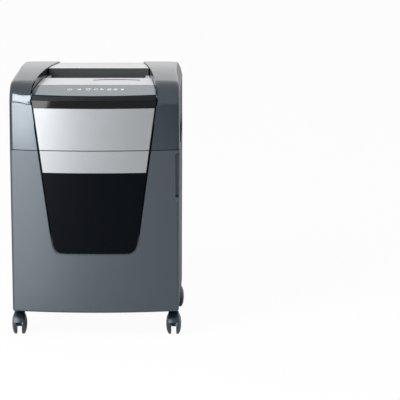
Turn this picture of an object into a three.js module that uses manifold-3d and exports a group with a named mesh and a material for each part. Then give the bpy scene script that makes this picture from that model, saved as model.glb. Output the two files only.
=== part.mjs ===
// Office paper shredder on castors: cabinet, pull-out waste bin, cutting head and drive.
// Millimetres, +X to the right, -Y to the front, +Z up. The origin is on the floor, under the middle.
import * as THREE from "three";
import { mergeVertices } from "three/addons/utils/BufferGeometryUtils.js";
import Module from "manifold-3d";

const wasm = await Module();
wasm.setup();

// ---------------------------------------------------------------- driving dimensions
const GAP = 0.3; // seat clearance between touching pieces
const WALL = 3; // moulded wall of the housings
const FASCIA = 3.4; // thickness of the front fascia pieces
const DECK = 2.5; // thickness of the deck plates

const HALF_WIDTH = 190.7; // head and bin front, at and above the seam
const FOOT_TAPER = 2.1; // each side comes in by this much towards the floor
const HALF_WIDTH_FOOT = HALF_WIDTH - FOOT_TAPER;
const BODY_DEPTH = 381.5; // front corner to rear edge of the side
const BOW = 22.5; // how far the front bulges at its middle
const INSERT_DEPTH = 0.8; // the light insert lies this far behind the front
const REAR_LIP = 6.2; // how far the finger lip at the back stands out
const REACH = BOW - INSERT_DEPTH; // the furthest point, ahead of the front corners
const FRONT_Y = (REACH - BODY_DEPTH - REAR_LIP) / 2; // front corners
const REAR_Y = FRONT_Y + BODY_DEPTH;

const PANEL_FOOT_Z = 59;
const FRONT_FOOT_Z = 61;
const SEAM_Z = 433; // joint between bin front and head
const SEAM_GAP = 0.8; // on each side of that joint
const CROWN_Z = 590; // highest line of the head
const CROWN_Y = 22;
const CROWN_RADIUS = 2150;
const FRONT_RADIUS = 50; // upper front corner of the head, seen from the side
const SKIRT = 34; // height of the head's skirt over the side panels
const PANEL_INSET = 0.8; // side panels lie this far inside the head's skirt
const FRONT_LEAN = 6; // the bin front leans back by this much at its foot
const WING = 34; // how far the bin front wraps round the sides
const CORNER = 7; // radius of the front's upright corners

// The light insert that runs over the deck and down the front.
const INSERT_SLOPE = 0.1366; // half-width gained per millimetre of height
const INSERT_AT_SEAM = 126.5;
const INSERT_GAP = 2.2; // shadow gap down both sides
const INSERT_CORNER = 21;
const WINDOW_FOOT_Z = 194.8;
const STRIP_FOOT_Z = 382;
const GLOSS_FOOT_Z = 528.5;
const SATIN_FOOT_Z = 546;
const SPLIT_Z = 548; // above it the opening is a plan outline, below it a front one

// Deck lines.
const DECK_GAP = 1; // between the deck plates and the cheeks
const CONTROL_INSET = 4.5; // front edge of the control panel behind the front surface
const CONTROL_SLOPE = 0.136;
const CONTROL_REAR_Y = -108.5;
const DECK_FRONT_Z = 570;
const DECK_REAR_Y = -24.5;
const DECK_REAR_Z = 574;
const THROAT_REAR_Y = 45;
const REAR_PLATE_DROP = 3; // rear plate below the crown
const LIP_DROP = 1.6; // finger lip below the rear plate
const REAR_HALF = 99; // half-width of the opening at the rear edge
const cdSlot = { centreX: 45.5, halfLength: 53.5, rearY: -44, radius: 208, width: 2.6 };

const HEAD_REAR_FOOT_Z = 532;
const VENT_FOOT_Z = 430;
const handle = { y: 23.5, z: 452, length: 111, height: 27, rim: 10.5, rimOut: 1, depth: 24 };
const grip = { z: 374, height: 100, depth: 24, width: 8.5 };

// Cutting head.
const cutter = {
  y: 10, z: 494, spacing: 38, tip: 22, ramp: 21.1, heel: 20.6, root: 18, spacer: 15, disc: 5.4, pitch: 12,
  discs: 19, journal: 7,
};
const FRAME_X = 118; // inner face of the cutter frame plates
const FRAME_PLATE = 4;
const CHASSIS_Z = 436;
const CHASSIS_PLATE = 2;
const gear = { module: 2, sync: 19, drive: 45, pinion: 15, width: 8, angle: 25, backlash: 0.16 };
const FEED_HALF = 110; // half the paper entry, for A4 sheets
const FEED_SLOT = 8;
const FEED_FOOT_Z = 528;
const motor = { radius: 32, length: 138, shaft: 5 };

const TUB_HALF = 158; // half the width of the bin tub at its top
const TUB_DRAFT = 8; // its walls come in by this much towards the floor
const rail = { x: TUB_HALF - TUB_DRAFT - 12, width: 16, height: 4, guard: 14 };
const BASE_Z = PANEL_FOOT_Z + 0.5;
const RAIL_Z = BASE_Z + WALL + GAP;
const tub = {
  halfWidth: TUB_HALF, frontY: FRONT_Y + 6, rearY: REAR_Y - 48.5, footZ: RAIL_Z + rail.height + GAP + 0.2,
  topZ: SEAM_Z - 9, wall: 2.5, draft: TUB_DRAFT,
};

const castor = {
  radius: 25, halfTrack: HALF_WIDTH - 14.7, halfWidth: 17, trail: 12.5, hood: 29, hoodHalf: 11.5, hoodWall: 1.8, gap: 12,
  stem: 5.5, axle: 3, frontY: FRONT_Y + 59, rearY: REAR_Y - 17.5, segments: 20,
};

// ---------------------------------------------------------------- shared curves
const lerp = (a, b, t) => a + (b - a) * t;
const steps = (count) => Array.from({ length: count + 1 }, (_, i) => i / count);
const bow = (x) => BOW * (1 - (x / HALF_WIDTH) ** 2);
const heightShare = (z) => Math.min(Math.max((z - FRONT_FOOT_Z) / (SEAM_Z - FRONT_FOOT_Z), 0), 1);
const lean = (z) => FRONT_LEAN * (1 - heightShare(z) ** 2);
const cornerY = (z) => FRONT_Y + lean(z);
const frontY = (x, z) => cornerY(z) - bow(x);
const halfWidth = (z) => lerp(HALF_WIDTH_FOOT, HALF_WIDTH, heightShare(z));
const crownZ = (y) => CROWN_Z - (y - CROWN_Y) ** 2 / (2 * CROWN_RADIUS);
const insertHalf = (z) => INSERT_AT_SEAM + (z - SEAM_Z) * INSERT_SLOPE;
const controlZ = (y) => DECK_FRONT_Z + (y - CONTROL_REAR_Y) * CONTROL_SLOPE;
const ARC_Y = FRONT_Y + FRONT_RADIUS; // centre of the upper front corner
const ARC_Z = crownZ(ARC_Y) - FRONT_RADIUS;
const AHEAD = FRONT_Y - BOW - 10; // clear of the front
const ABOVE = CROWN_Z + 10; // clear of the top

// Half-width of the deck opening along the depth, as knots joined by straight lines.
const deckKnots = [
  [REAR_Y, REAR_HALF],
  [THROAT_REAR_Y, REAR_HALF + 18],
  [DECK_REAR_Y, REAR_HALF + 25.5],
  [CONTROL_REAR_Y, REAR_HALF + 34.3],
  [FRONT_Y + 8, insertHalf(SPLIT_Z)],
  [FRONT_Y - BOW - 5, insertHalf(SPLIT_Z)],
];
function deckHalf(y) {
  const next = deckKnots.findIndex(([knotY]) => knotY <= y);
  if (next <= 0) return next === 0 ? deckKnots[0][1] : deckKnots.at(-1)[1];
  const [y0, w0] = deckKnots[next - 1];
  const [y1, w1] = deckKnots[next];
  return lerp(w0, w1, (y - y0) / (y1 - y0));
}

// ---------------------------------------------------------------- making solids
function solid(geometry) {
  const bare = geometry.index ? geometry.toNonIndexed() : geometry.clone();
  bare.deleteAttribute("normal");
  bare.deleteAttribute("uv");
  const merged = mergeVertices(bare, 1e-4);
  const index = Array.from(merged.index.array);
  const p = merged.attributes.position.array;
  const triVerts = [];
  let volume = 0;
  for (let i = 0; i < index.length; i += 3) {
    const [a, b, c] = index.slice(i, i + 3);
    if (a === b || b === c || a === c) continue;
    triVerts.push(a, b, c);
    const [va, vb, vc] = [a, b, c].map((k) => new THREE.Vector3(...p.slice(3 * k, 3 * k + 3)));
    volume += va.dot(vb.cross(vc));
  }
  if (volume < 0) triVerts.reverse();
  const mesh = new wasm.Mesh({ numProp: 3, vertProperties: p, triVerts: new Uint32Array(triVerts) });
  return new wasm.Manifold(mesh);
}

const X = new THREE.Vector3(1, 0, 0);
const Y = new THREE.Vector3(0, 1, 0);
const Z = new THREE.Vector3(0, 0, 1);
const BASIS = {
  x: new THREE.Matrix4().makeBasis(Y, Z, X), // outline in (y, z)
  y: new THREE.Matrix4().makeBasis(X, Z, Y.clone().negate()), // outline in (x, z)
  z: new THREE.Matrix4(), // outline in (x, y)
};

// A flat outline pushed along one axis, from one coordinate to another.
function prism(outline, axis, from, to, curveSegments = 5) {
  const shape = Array.isArray(outline) ? new THREE.Shape(outline.map(([u, v]) => new THREE.Vector2(u, v))) : outline;
  const depth = to - from;
  const made = new THREE.ExtrudeGeometry(shape, { depth, bevelEnabled: false, curveSegments });
  made.applyMatrix4(BASIS[axis]);
  const start = axis === "y" ? to : from;
  return solid(made.translate(axis === "x" ? start : 0, axis === "y" ? start : 0, axis === "z" ? start : 0));
}

function block([x0, x1], [y0, y1], [z0, z1]) {
  const made = new THREE.BoxGeometry(x1 - x0, y1 - y0, z1 - z0);
  return solid(made.translate((x0 + x1) / 2, (y0 + y1) / 2, (z0 + z1) / 2));
}

// A profile of [radius, distance along the axis] turned about a line parallel to X or Z.
function turned(profile, axis, [a, b], segments = 16) {
  const points = profile.map(([r, s]) => new THREE.Vector2(r, s));
  const made = new THREE.LatheGeometry(points, segments, Math.PI / segments);
  if (axis === "x") made.rotateZ(-Math.PI / 2).translate(0, a, b);
  if (axis === "z") made.rotateX(Math.PI / 2).translate(a, b, 0);
  return solid(made);
}

function rod(axis, radius, from, to, centre, segments = 16) {
  return turned([[0, from], [radius, from], [radius, to], [0, to]], axis, centre, segments);
}

function ring(axis, inner, outer, from, to, centre, segments = 16) {
  const loop = [[inner, from], [outer, from], [outer, to], [inner, to], [inner, from]];
  return turned(loop, axis, centre, segments);
}

// A closed sheet between two grids of points, row by row.
function sheet(outer, inner) {
  const triangles = [];
  const quad = (a, b, c, d) => triangles.push(a, b, c, a, c, d);
  const rows = outer.length - 1;
  const columns = outer[0].length - 1;
  for (let i = 0; i < rows; i++) {
    for (let j = 0; j < columns; j++) {
      quad(outer[i][j], outer[i][j + 1], outer[i + 1][j + 1], outer[i + 1][j]);
      quad(inner[i][j], inner[i + 1][j], inner[i + 1][j + 1], inner[i][j + 1]);
    }
    quad(outer[i][0], outer[i + 1][0], inner[i + 1][0], inner[i][0]);
    quad(outer[i + 1][columns], outer[i][columns], inner[i][columns], inner[i + 1][columns]);
  }
  for (let j = 0; j < columns; j++) {
    quad(outer[0][j + 1], outer[0][j], inner[0][j], inner[0][j + 1]);
    quad(outer[rows][j], outer[rows][j + 1], inner[rows][j + 1], inner[rows][j]);
  }
  return solid(new THREE.BufferGeometry().setFromPoints(triangles));
}

function roundedRect(u, v, width, height, radius) {
  const shape = new THREE.Shape();
  const [u0, u1, v0, v1] = [u - width / 2, u + width / 2, v - height / 2, v + height / 2];
  shape.moveTo(u0 + radius, v0);
  shape.lineTo(u1 - radius, v0);
  shape.absarc(u1 - radius, v0 + radius, radius, -Math.PI / 2, 0);
  shape.absarc(u1 - radius, v1 - radius, radius, 0, Math.PI / 2);
  shape.absarc(u0 + radius, v1 - radius, radius, Math.PI / 2, Math.PI);
  shape.absarc(u0 + radius, v0 + radius, radius, Math.PI, 1.5 * Math.PI);
  return shape;
}

const mirrored = (pairs) => [...pairs.map(([u, v]) => [-u, v]), ...[...pairs].reverse()];
const joined = (...parts) => parts.reduce((whole, part) => whole.add(part));

// ---------------------------------------------------------------- scene graph
const colours = {
  blueGrey: { color: 0x545a61, roughness: 0.5, metalness: 0 },
  lightGrey: { color: 0x97a2ad, roughness: 0.45, metalness: 0.1 },
  silver: { color: 0xd5d8da, roughness: 0.35, metalness: 0.3 },
  black: { color: 0x0f141c, roughness: 0.15, metalness: 0 },
  darkGrey: { color: 0x303539, roughness: 0.6, metalness: 0 },
  steel: { color: 0x9a9da0, roughness: 0.4, metalness: 1 },
  brass: { color: 0xb08d4a, roughness: 0.4, metalness: 1 },
  green: { color: 0x1f5a3a, roughness: 0.6, metalness: 0 },
};
const shredder = new THREE.Group();

function add(name, made, colour) {
  const [whole] = made.decompose().sort((a, b) => b.volume() - a.volume()); // without the cuts' slivers
  const mesh = whole.getMesh();
  const geometry = new THREE.BufferGeometry();
  geometry.setAttribute("position", new THREE.BufferAttribute(Float32Array.from(mesh.vertProperties), 3));
  geometry.setIndex(new THREE.BufferAttribute(Uint32Array.from(mesh.triVerts), 1));
  geometry.computeVertexNormals();
  const piece = new THREE.Mesh(geometry, new THREE.MeshStandardMaterial(colours[colour]));
  piece.name = name;
  shredder.add(piece);
}

// ---------------------------------------------------------------- head shell
// Stations over the head, from the rear edge over the crown and down to the seam.
function headStations() {
  const line = steps(6).map((t) => {
    const y = lerp(REAR_Y, ARC_Y, t);
    return { y, z: crownZ(y), front: 0 };
  });
  for (const t of steps(7).slice(1)) {
    const angle = (t * Math.PI) / 2;
    const y = ARC_Y - FRONT_RADIUS * Math.sin(angle);
    line.push({ y, z: ARC_Z + FRONT_RADIUS * Math.cos(angle), front: Math.sin(angle) ** 2 });
  }
  line.push({ y: FRONT_Y, z: SEAM_Z + SEAM_GAP, front: 1 });
  return line.map((station, i) => {
    const before = line[Math.max(i - 1, 0)];
    const after = line[Math.min(i + 1, line.length - 1)];
    const along = new THREE.Vector2(after.y - before.y, after.z - before.z).normalize();
    const [ny, nz] = i === 0 ? [0, 1] : [along.y, -along.x];
    return { ...station, ny: i === line.length - 1 ? -1 : ny, nz: i === line.length - 1 ? 0 : nz };
  });
}

// Half of the head's section as [distance in from the side, depth below the crown line].
// The outer edge is upright at the front and leans in towards the rear.
const FRONT_EDGE = [[HALF_WIDTH, 0], [100, 0], [52, 0], [26, 0.1], [8, 0.8], [2.4, 2], [0.4, 3.6], [0, 6], [0, SKIRT]];
const REAR_EDGE = [[HALF_WIDTH, 0], [100, 0], [52, 0], [26, 0.1], [13.5, 0.8], [11.5, 2.4], [9, 5], [4.4, 15], [0, SKIRT]];
const EDGE_TURN_Y = 10; // behind it the edge leans in fully
function outerEdge(y) {
  const t = Math.min(Math.max((EDGE_TURN_Y - y) / (EDGE_TURN_Y - FRONT_Y), 0), 1);
  return REAR_EDGE.map(([inset, drop], i) => [
    HALF_WIDTH - lerp(inset, FRONT_EDGE[i][0], t),
    lerp(drop, FRONT_EDGE[i][1], t),
  ]);
}
function innerEdge(y) {
  const last = REAR_EDGE.length - 1;
  return outerEdge(y).map(([x, drop], i) => [x - (WALL * i) / last, i === last ? drop : drop + WALL]);
}

function headGrid(edgeAt) {
  return headStations().map(({ y, z, ny, nz, front }) => {
    const edge = edgeAt(y);
    const columns = [...edge.slice(1).reverse().map(([x, drop]) => [-x, drop]), ...edge];
    return columns.map(([x, drop]) => new THREE.Vector3(x, y - ny * drop - bow(x) * front, z - nz * drop));
  });
}

function deckOutline(inset, fromY = FRONT_Y - BOW - 4, toY = REAR_Y + 20) {
  const ys = [fromY, ...deckKnots.map(([y]) => y).filter((y) => y > fromY && y < toY).reverse(), toY];
  return mirrored(ys.map((y) => [deckHalf(y) - inset, y]));
}

function frontOutline(inset, fromZ, toZ) {
  return mirrored([[insertHalf(fromZ) - inset, fromZ], [insertHalf(toZ) - inset, toZ]]);
}

// A sheet that follows the bowed front, between two depths behind it.
function bowSheet(fromZ, toZ, near, far, reach = insertHalf(toZ), rows = 1) {
  const grid = (depth) =>
    steps(rows).map((s) => {
      const z = lerp(fromZ, toZ, s);
      return steps(12).map((t) => {
        const x = lerp(-reach, reach, t);
        return new THREE.Vector3(x, frontY(x, z) + depth, z);
      });
    });
  return sheet(grid(near), grid(far));
}

const RETURN = 2.5; // wall that edges the opening in the head
function deckReturn(side) {
  const ys = deckKnots.slice(0, -1).map(([y]) => y);
  const grid = (inset) =>
    [0, 1].map((up) =>
      ys.map((y, i) => {
        const top = i === ys.length - 1 ? ARC_Z + FRONT_RADIUS * 0.55 : crownZ(y) - 1;
        return new THREE.Vector3(side * (deckHalf(y) + inset), y, lerp(SPLIT_Z, top, up));
      }),
    );
  return sheet(grid(RETURN), grid(-1));
}

function frontReturn(side) {
  const zs = [SEAM_Z + SEAM_GAP, GLOSS_FOOT_Z, SPLIT_Z];
  const grid = (inset) =>
    [1.5, FASCIA + 4.5].map((depth) =>
      zs.map((z) => {
        const x = insertHalf(z) + inset;
        return new THREE.Vector3(side * x, frontY(x, z) + depth, z);
      }),
    );
  return sheet(grid(RETURN), grid(-1));
}

function rearWall() {
  const low = HALF_WIDTH - PANEL_INSET - WALL - GAP;
  const top = crownZ(REAR_Y);
  const edge = REAR_EDGE.slice(4).reverse().map(([inset, drop]) => [HALF_WIDTH - inset - 0.5, top - Math.min(drop + 0.5, SKIRT)]);
  const outline = mirrored([[low, HEAD_REAR_FOOT_Z], [low, top - SKIRT], ...edge]);
  return prism(outline, "y", REAR_Y - WALL, REAR_Y - 0.1);
}

// Lip for the fingers under the rear plate: proud at its top, running out at its foot.
function fingerLip() {
  const top = crownZ(REAR_Y) - REAR_PLATE_DROP - DECK - LIP_DROP;
  const foot = top - 25.5;
  const far = REAR_Y + REAR_LIP;
  const outline = [[REAR_Y - 1, foot], [REAR_Y + 0.2, foot], [far - 1.2, top - 10.5], [far, top - 6], [far, top - 2.5],
    [far - 1.5, top], [REAR_Y - 1, top]];
  const half = REAR_HALF + 19;
  const plan = mirrored([[half, REAR_Y - 2], [half, REAR_Y], [REAR_HALF - 1, far + 0.1]]);
  return prism(outline, "x", -half - 2, half + 2).intersect(prism(plan, "z", foot - 6, top + 8));
}

function headShell() {
  const shell = sheet(headGrid(outerEdge), headGrid(innerEdge));
  const sill = crownZ(REAR_Y) - REAR_PLATE_DROP - DECK - GAP;
  const rearCut = prism(deckOutline(0), "z", sill, ABOVE);
  const deckCut = prism(deckOutline(0, FRONT_Y - BOW - 4, REAR_Y - WALL), "z", SPLIT_Z, ABOVE).add(rearCut);
  const frontCut = prism(frontOutline(0, SEAM_Z - 5, SPLIT_Z), "y", AHEAD, FRONT_Y + 15);
  const edged = joined(shell, rearWall(), fingerLip(), deckReturn(1), deckReturn(-1), frontReturn(1), frontReturn(-1));
  const backing = bowSheet(SEAM_Z + SEAM_GAP, SATIN_FOOT_Z + 1.5, FASCIA + GAP, FASCIA + 3, insertHalf(SPLIT_Z) + 1);
  const trimmed = backing.intersect(prism(frontOutline(-1, SEAM_Z - 5, SPLIT_Z + 5), "y", AHEAD, FRONT_Y + 15));
  return edged.subtract(deckCut).subtract(frontCut).add(trimmed);
}

// ---------------------------------------------------------------- fascia and deck
function fascia(fromZ, toZ) {
  const body = bowSheet(fromZ, toZ, INSERT_DEPTH, FASCIA, insertHalf(toZ) - INSERT_GAP);
  return body.intersect(prism(frontOutline(INSERT_GAP, fromZ - 1, toZ + 1), "y", AHEAD, 0));
}

function satinBand() {
  const half = insertHalf(SATIN_FOOT_Z) - INSERT_GAP;
  const grid = (rows) =>
    rows.map(([depth, rise, z]) =>
      steps(12).map((t) => {
        const x = lerp(-half, half, t);
        const edge = controlZ(frontY(x, SPLIT_Z) + CONTROL_INSET);
        return new THREE.Vector3(x, frontY(x, SPLIT_Z) + depth, z ?? edge + rise);
      }),
    );
  const seat = CONTROL_INSET - GAP;
  const outer = grid([[seat, 0], [seat - 2.8, -3.2], [INSERT_DEPTH, 0, SATIN_FOOT_Z + GAP]]);
  const inner = grid([[seat, -3.2], [seat - 0.8, -5.4], [2.5, 0, SATIN_FOOT_Z + GAP]]);
  return sheet(outer, inner);
}

function controlSheet(fromY, near, far, inset) {
  const grid = (depth) =>
    steps(2).map((s) =>
      steps(12).map((t) => {
        const share = lerp(-1, 1, t);
        const x = share * (insertHalf(SPLIT_Z) - inset);
        const y = lerp(fromY, frontY(x, SPLIT_Z) + CONTROL_INSET, s);
        const reach = s === 1 ? x : share * (deckHalf(y) - inset);
        return new THREE.Vector3(reach, y, controlZ(y) - depth);
      }),
    );
  return sheet(grid(near), grid(far));
}

function slotOutline() {
  const { centreX, halfLength, rearY, radius, width } = cdSlot;
  const half = Math.asin(halfLength / radius);
  const shape = new THREE.Shape();
  shape.absarc(centreX, rearY - radius, radius, Math.PI / 2 - half, Math.PI / 2 + half, false);
  shape.absarc(centreX, rearY - radius, radius - width, Math.PI / 2 + half, Math.PI / 2 - half, true);
  return shape;
}

function frontDeckPlate() {
  const plate = prism([[CONTROL_REAR_Y + GAP, DECK_FRONT_Z], [DECK_REAR_Y, DECK_REAR_Z],
    [DECK_REAR_Y, DECK_REAR_Z - DECK], [CONTROL_REAR_Y + GAP, DECK_FRONT_Z - DECK]], "x", -HALF_WIDTH, HALF_WIDTH);
  const earTop = DECK_FRONT_Z;
  const ear = [[DECK_REAR_Y - 8, DECK_REAR_Z - 0.5], [DECK_REAR_Y - 8, earTop - DECK],
    [THROAT_REAR_Y - GAP, earTop - DECK], [THROAT_REAR_Y - GAP, earTop], [DECK_REAR_Y + 12, earTop],
    [DECK_REAR_Y, DECK_REAR_Z - 0.1]];
  const ears = joined(plate, prism(ear, "x", FEED_HALF - 1, HALF_WIDTH), prism(ear, "x", -HALF_WIDTH, 1 - FEED_HALF));
  const trimmed = ears.intersect(prism(deckOutline(DECK_GAP), "z", SEAM_Z, ABOVE));
  return trimmed.subtract(prism(slotOutline(), "z", SEAM_Z, ABOVE, 8));
}

function rearDeckPlate() {
  const fromY = THROAT_REAR_Y + DECK + GAP;
  const toY = REAR_Y + 4.5;
  const top = (y) => crownZ(y) - REAR_PLATE_DROP;
  const ys = steps(5).map((t) => lerp(fromY, toY, t));
  const outline = [...ys.map((y) => [y, top(y)]), ...ys.reverse().map((y) => [y, top(y) - DECK])];
  return prism(outline, "x", -HALF_WIDTH, HALF_WIDTH).intersect(prism(deckOutline(DECK_GAP), "z", SEAM_Z, ABOVE));
}

// Funnel under the deck that leads the sheets to the cutters.
function throatLiner() {
  const slotRear = cutter.y + FEED_SLOT / 2;
  const slotFront = cutter.y - FEED_SLOT / 2;
  const t = DECK;
  const lipZ = crownZ(THROAT_REAR_Y) - REAR_PLATE_DROP;
  const neckZ = FEED_FOOT_Z + 10; // top of the straight slot
  const bendZ = FEED_FOOT_Z + 28; // foot of the upright rear wall
  const rear = [[THROAT_REAR_Y, lipZ], [THROAT_REAR_Y, bendZ], [slotRear, neckZ], [slotRear, FEED_FOOT_Z],
    [slotRear + t, FEED_FOOT_Z], [slotRear + t, neckZ - 2], [THROAT_REAR_Y + t, bendZ - 2], [THROAT_REAR_Y + t, lipZ]];
  const seatZ = DECK_FRONT_Z - DECK - GAP;
  const front = [[DECK_REAR_Y - 2, seatZ], [slotFront, neckZ], [slotFront, FEED_FOOT_Z],
    [slotFront - t, FEED_FOOT_Z], [slotFront - t, neckZ - 1.5], [DECK_REAR_Y - 6, seatZ]];
  const end = [[DECK_REAR_Y - 4, seatZ], [slotFront - t, FEED_FOOT_Z], [slotRear + t, FEED_FOOT_Z],
    [THROAT_REAR_Y + t, bendZ - 3], [THROAT_REAR_Y + t, seatZ]];
  const half = FEED_HALF + 5;
  return joined(
    prism(rear, "x", -half, half),
    prism(front, "x", -FEED_HALF - t, FEED_HALF + t),
    prism(end, "x", FEED_HALF, FEED_HALF + t),
    prism(end, "x", -FEED_HALF - t, -FEED_HALF),
  );
}

// ---------------------------------------------------------------- cabinet
function handleOutline(grow, radius) {
  return roundedRect(handle.y, handle.z, handle.length + 2 * grow, handle.height + 2 * grow, radius);
}

// Section of a side wall between two depths inside the body's flank, from floor side to top.
function flank(side, near, far, topZ) {
  const at = (z, depth) => [side * (halfWidth(z) - depth), z];
  return [at(FRONT_FOOT_Z - 10, near), at(SEAM_Z, near), at(topZ, near), at(topZ, far), at(SEAM_Z, far),
    at(FRONT_FOOT_Z - 10, far)];
}

function sidePanel(side) {
  const drop = SKIRT + GAP;
  const outline = [[REAR_Y, PANEL_FOOT_Z], [REAR_Y, crownZ(REAR_Y) - drop]];
  for (const t of steps(5).slice(1)) {
    const y = lerp(REAR_Y, ARC_Y, t);
    outline.push([y, crownZ(y) - drop]);
  }
  for (const t of steps(4).slice(1)) {
    const angle = (t * Math.PI) / 2;
    const r = FRONT_RADIUS - drop;
    outline.push([ARC_Y - r * Math.sin(angle), ARC_Z + r * Math.cos(angle)]);
  }
  for (const t of steps(4)) {
    const z = lerp(SEAM_Z, PANEL_FOOT_Z, t);
    outline.push([cornerY(z) + WING + SEAM_GAP, z]);
  }
  const wall = prism(flank(side, PANEL_INSET, PANEL_INSET + WALL, CROWN_Z), "y", FRONT_Y, REAR_Y + 1);
  const across = side < 0 ? [-HALF_WIDTH - 10, -HALF_WIDTH / 2] : [HALF_WIDTH / 2, HALF_WIDTH + 10];
  return prism(outline, "x", ...across).intersect(wall).subtract(prism(handleOutline(WALL + GAP, 4), "x", ...across));
}

function handleCup(side) {
  const skin = HALF_WIDTH - PANEL_INSET;
  const bottom = skin - handle.depth;
  const along = (from, to) => [Math.min(side * from, side * to), Math.max(side * from, side * to)];
  const flange = prism(handleOutline(handle.rim, 2), "x", ...along(skin + GAP, skin + GAP + handle.rimOut), 2);
  const bowl = prism(handleOutline(WALL, 3.7), "x", ...along(bottom, skin + 1), 2);
  const hollow = prism(handleOutline(0, 1.5), "x", ...along(bottom + DECK, skin + 10), 2);
  return flange.add(bowl).subtract(hollow);
}

function rearPanel() {
  const half = (z) => halfWidth(z) - PANEL_INSET - WALL - GAP;
  const outline = mirrored([[half(PANEL_FOOT_Z), PANEL_FOOT_Z], [half(VENT_FOOT_Z), VENT_FOOT_Z - GAP]]);
  const panel = prism(outline, "y", REAR_Y - WALL, REAR_Y);
  return panel.subtract(block([inlet.x0 - GAP, inlet.x1 + GAP], [0, REAR_Y + 10], [inlet.z0 - GAP, inlet.z1 + GAP]));
}

// Dark louvred panel above the rear panel; it stands out a little at its top.
function rearVentPanel() {
  const half = halfWidth(VENT_FOOT_Z) - PANEL_INSET - WALL - GAP;
  const top = HEAD_REAR_FOOT_Z - GAP;
  const outline = [[REAR_Y - WALL, VENT_FOOT_Z], [REAR_Y, VENT_FOOT_Z], [REAR_Y, VENT_FOOT_Z + 22],
    [REAR_Y + 3, VENT_FOOT_Z + 58], [REAR_Y + 3, top - 4], [REAR_Y + 1, top], [REAR_Y - WALL, top]];
  let panel = prism(outline, "x", -half, half);
  const louvres = { count: 7, pitch: 9, height: 4, halfLength: 95, footZ: VENT_FOOT_Z + 32 };
  for (let i = 0; i < louvres.count; i++) {
    const z = louvres.footZ + i * louvres.pitch;
    const slot = roundedRect(0, z, 2 * louvres.halfLength, louvres.height, 1.9);
    panel = panel.subtract(prism(slot, "y", REAR_Y - 10, REAR_Y + 10, 2));
  }
  return panel;
}

// Floor of the cabinet, with sockets for the castor stems.
const BASE_HALF = HALF_WIDTH_FOOT - PANEL_INSET - WALL - GAP;
const BASE_FRONT_Y = FRONT_Y + 35;
const BASE_REAR_Y = REAR_Y - WALL - GAP;
const SOCKET_Z = BASE_Z + 29.5;
function baseTray() {
  const middleY = (BASE_FRONT_Y + BASE_REAR_Y) / 2;
  const depth = BASE_REAR_Y - BASE_FRONT_Y;
  const plan = roundedRect(0, middleY, 2 * BASE_HALF, depth, 6);
  const inner = roundedRect(0, middleY, 2 * (BASE_HALF - WALL), depth - 2 * WALL, 4);
  let tray = prism(plan, "z", BASE_Z, SOCKET_Z, 2).subtract(prism(inner, "z", BASE_Z + WALL, SOCKET_Z + 1, 2));
  // The bin passes over the low front edge.
  tray = tray.subtract(block([-tub.halfWidth - 2, tub.halfWidth + 2], [BASE_FRONT_Y - 5, BASE_FRONT_Y + 5], [BASE_Z + WALL, SOCKET_Z + 5]));
  for (const { x, y } of castorPlaces) tray = tray.add(rod("z", 8, BASE_Z, SOCKET_Z, [x, y], 12));
  for (const { x, y } of castorPlaces) {
    tray = tray.subtract(rod("z", castor.stem + GAP + 0.1, BASE_Z - 5, SOCKET_Z - WALL, [x, y], 12));
  }
  return tray;
}

function binRail(side) {
  const from = RAIL_Z;
  const outline = [[rail.x, from], [rail.x + rail.width, from], [rail.x + rail.width, from + rail.guard],
    [rail.x + rail.width - 3, from + rail.guard], [rail.x + rail.width - 3, from + rail.height],
    [rail.x, from + rail.height]];
  const profile = outline.map(([x, z]) => [side * x, z]);
  return prism(profile, "y", BASE_FRONT_Y + 14, BASE_REAR_Y - 30);
}

// ---------------------------------------------------------------- mains inlet
const inlet = { x0: 96, x1: 152, z0: 96, z1: 124, depth: 22, rim: 3 };
const rocker = { x0: 128, x1: 146, z: 110, halfHeight: 10, tilt: 8 };
function mainsInlet() {
  const { x0, x1, z0, z1, depth, rim } = inlet;
  const frame = block([x0 - rim, x1 + rim], [REAR_Y + GAP, REAR_Y + GAP + 1.5], [z0 - rim, z1 + rim]);
  const body = block([x0, x1], [REAR_Y - depth, REAR_Y + 1], [z0, z1]);
  const socket = roundedRect(x0 + 15, (z0 + z1) / 2, 23, 16, 3);
  const pocket = prism(socket, "y", REAR_Y - depth + 4, REAR_Y + 5, 2);
  const well = block([rocker.x0 - 0.6, rocker.x1 + 0.6], [REAR_Y - 15, REAR_Y + 5],
    [rocker.z - rocker.halfHeight - 0.8, rocker.z + rocker.halfHeight + 0.8]);
  return frame.add(body).subtract(pocket).subtract(well);
}

// Rocker: two faces that meet at a shallow angle over a round back, turning about X.
const ROCKER_PIVOT_Y = REAR_Y - 5;
function mainsSwitch() {
  const h = rocker.halfHeight;
  const face = [[ROCKER_PIVOT_Y + 7.5, rocker.z - h + 0.6], [ROCKER_PIVOT_Y + 6, rocker.z],
    [ROCKER_PIVOT_Y + 7.5, rocker.z + h - 0.6]];
  const back = steps(6).map((t) => {
    const angle = lerp(60, -60, t) * (Math.PI / 180);
    return [ROCKER_PIVOT_Y - 8.5 * Math.cos(angle), rocker.z + 8.5 * Math.sin(angle)];
  });
  return prism([...face, ...back], "x", rocker.x0, rocker.x1);
}

// ---------------------------------------------------------------- bin
// Half of the bin front in plan, from the middle to the rear edge of the wing.
function planHalf(z) {
  const half = halfWidth(z);
  const line = steps(6).map((t) => {
    const x = t * (half - CORNER + 1.5);
    return [x, frontY(x, z)];
  });
  const centreX = half - CORNER;
  const centreY = frontY(centreX + 1.5, z) + CORNER - 0.2;
  for (const angle of [60, 40, 20, 0]) {
    const a = (angle * Math.PI) / 180;
    line.push([centreX + CORNER * Math.cos(a), centreY - CORNER * Math.sin(a)]);
  }
  line.push([half, cornerY(z) + WING]);
  return line;
}

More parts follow.
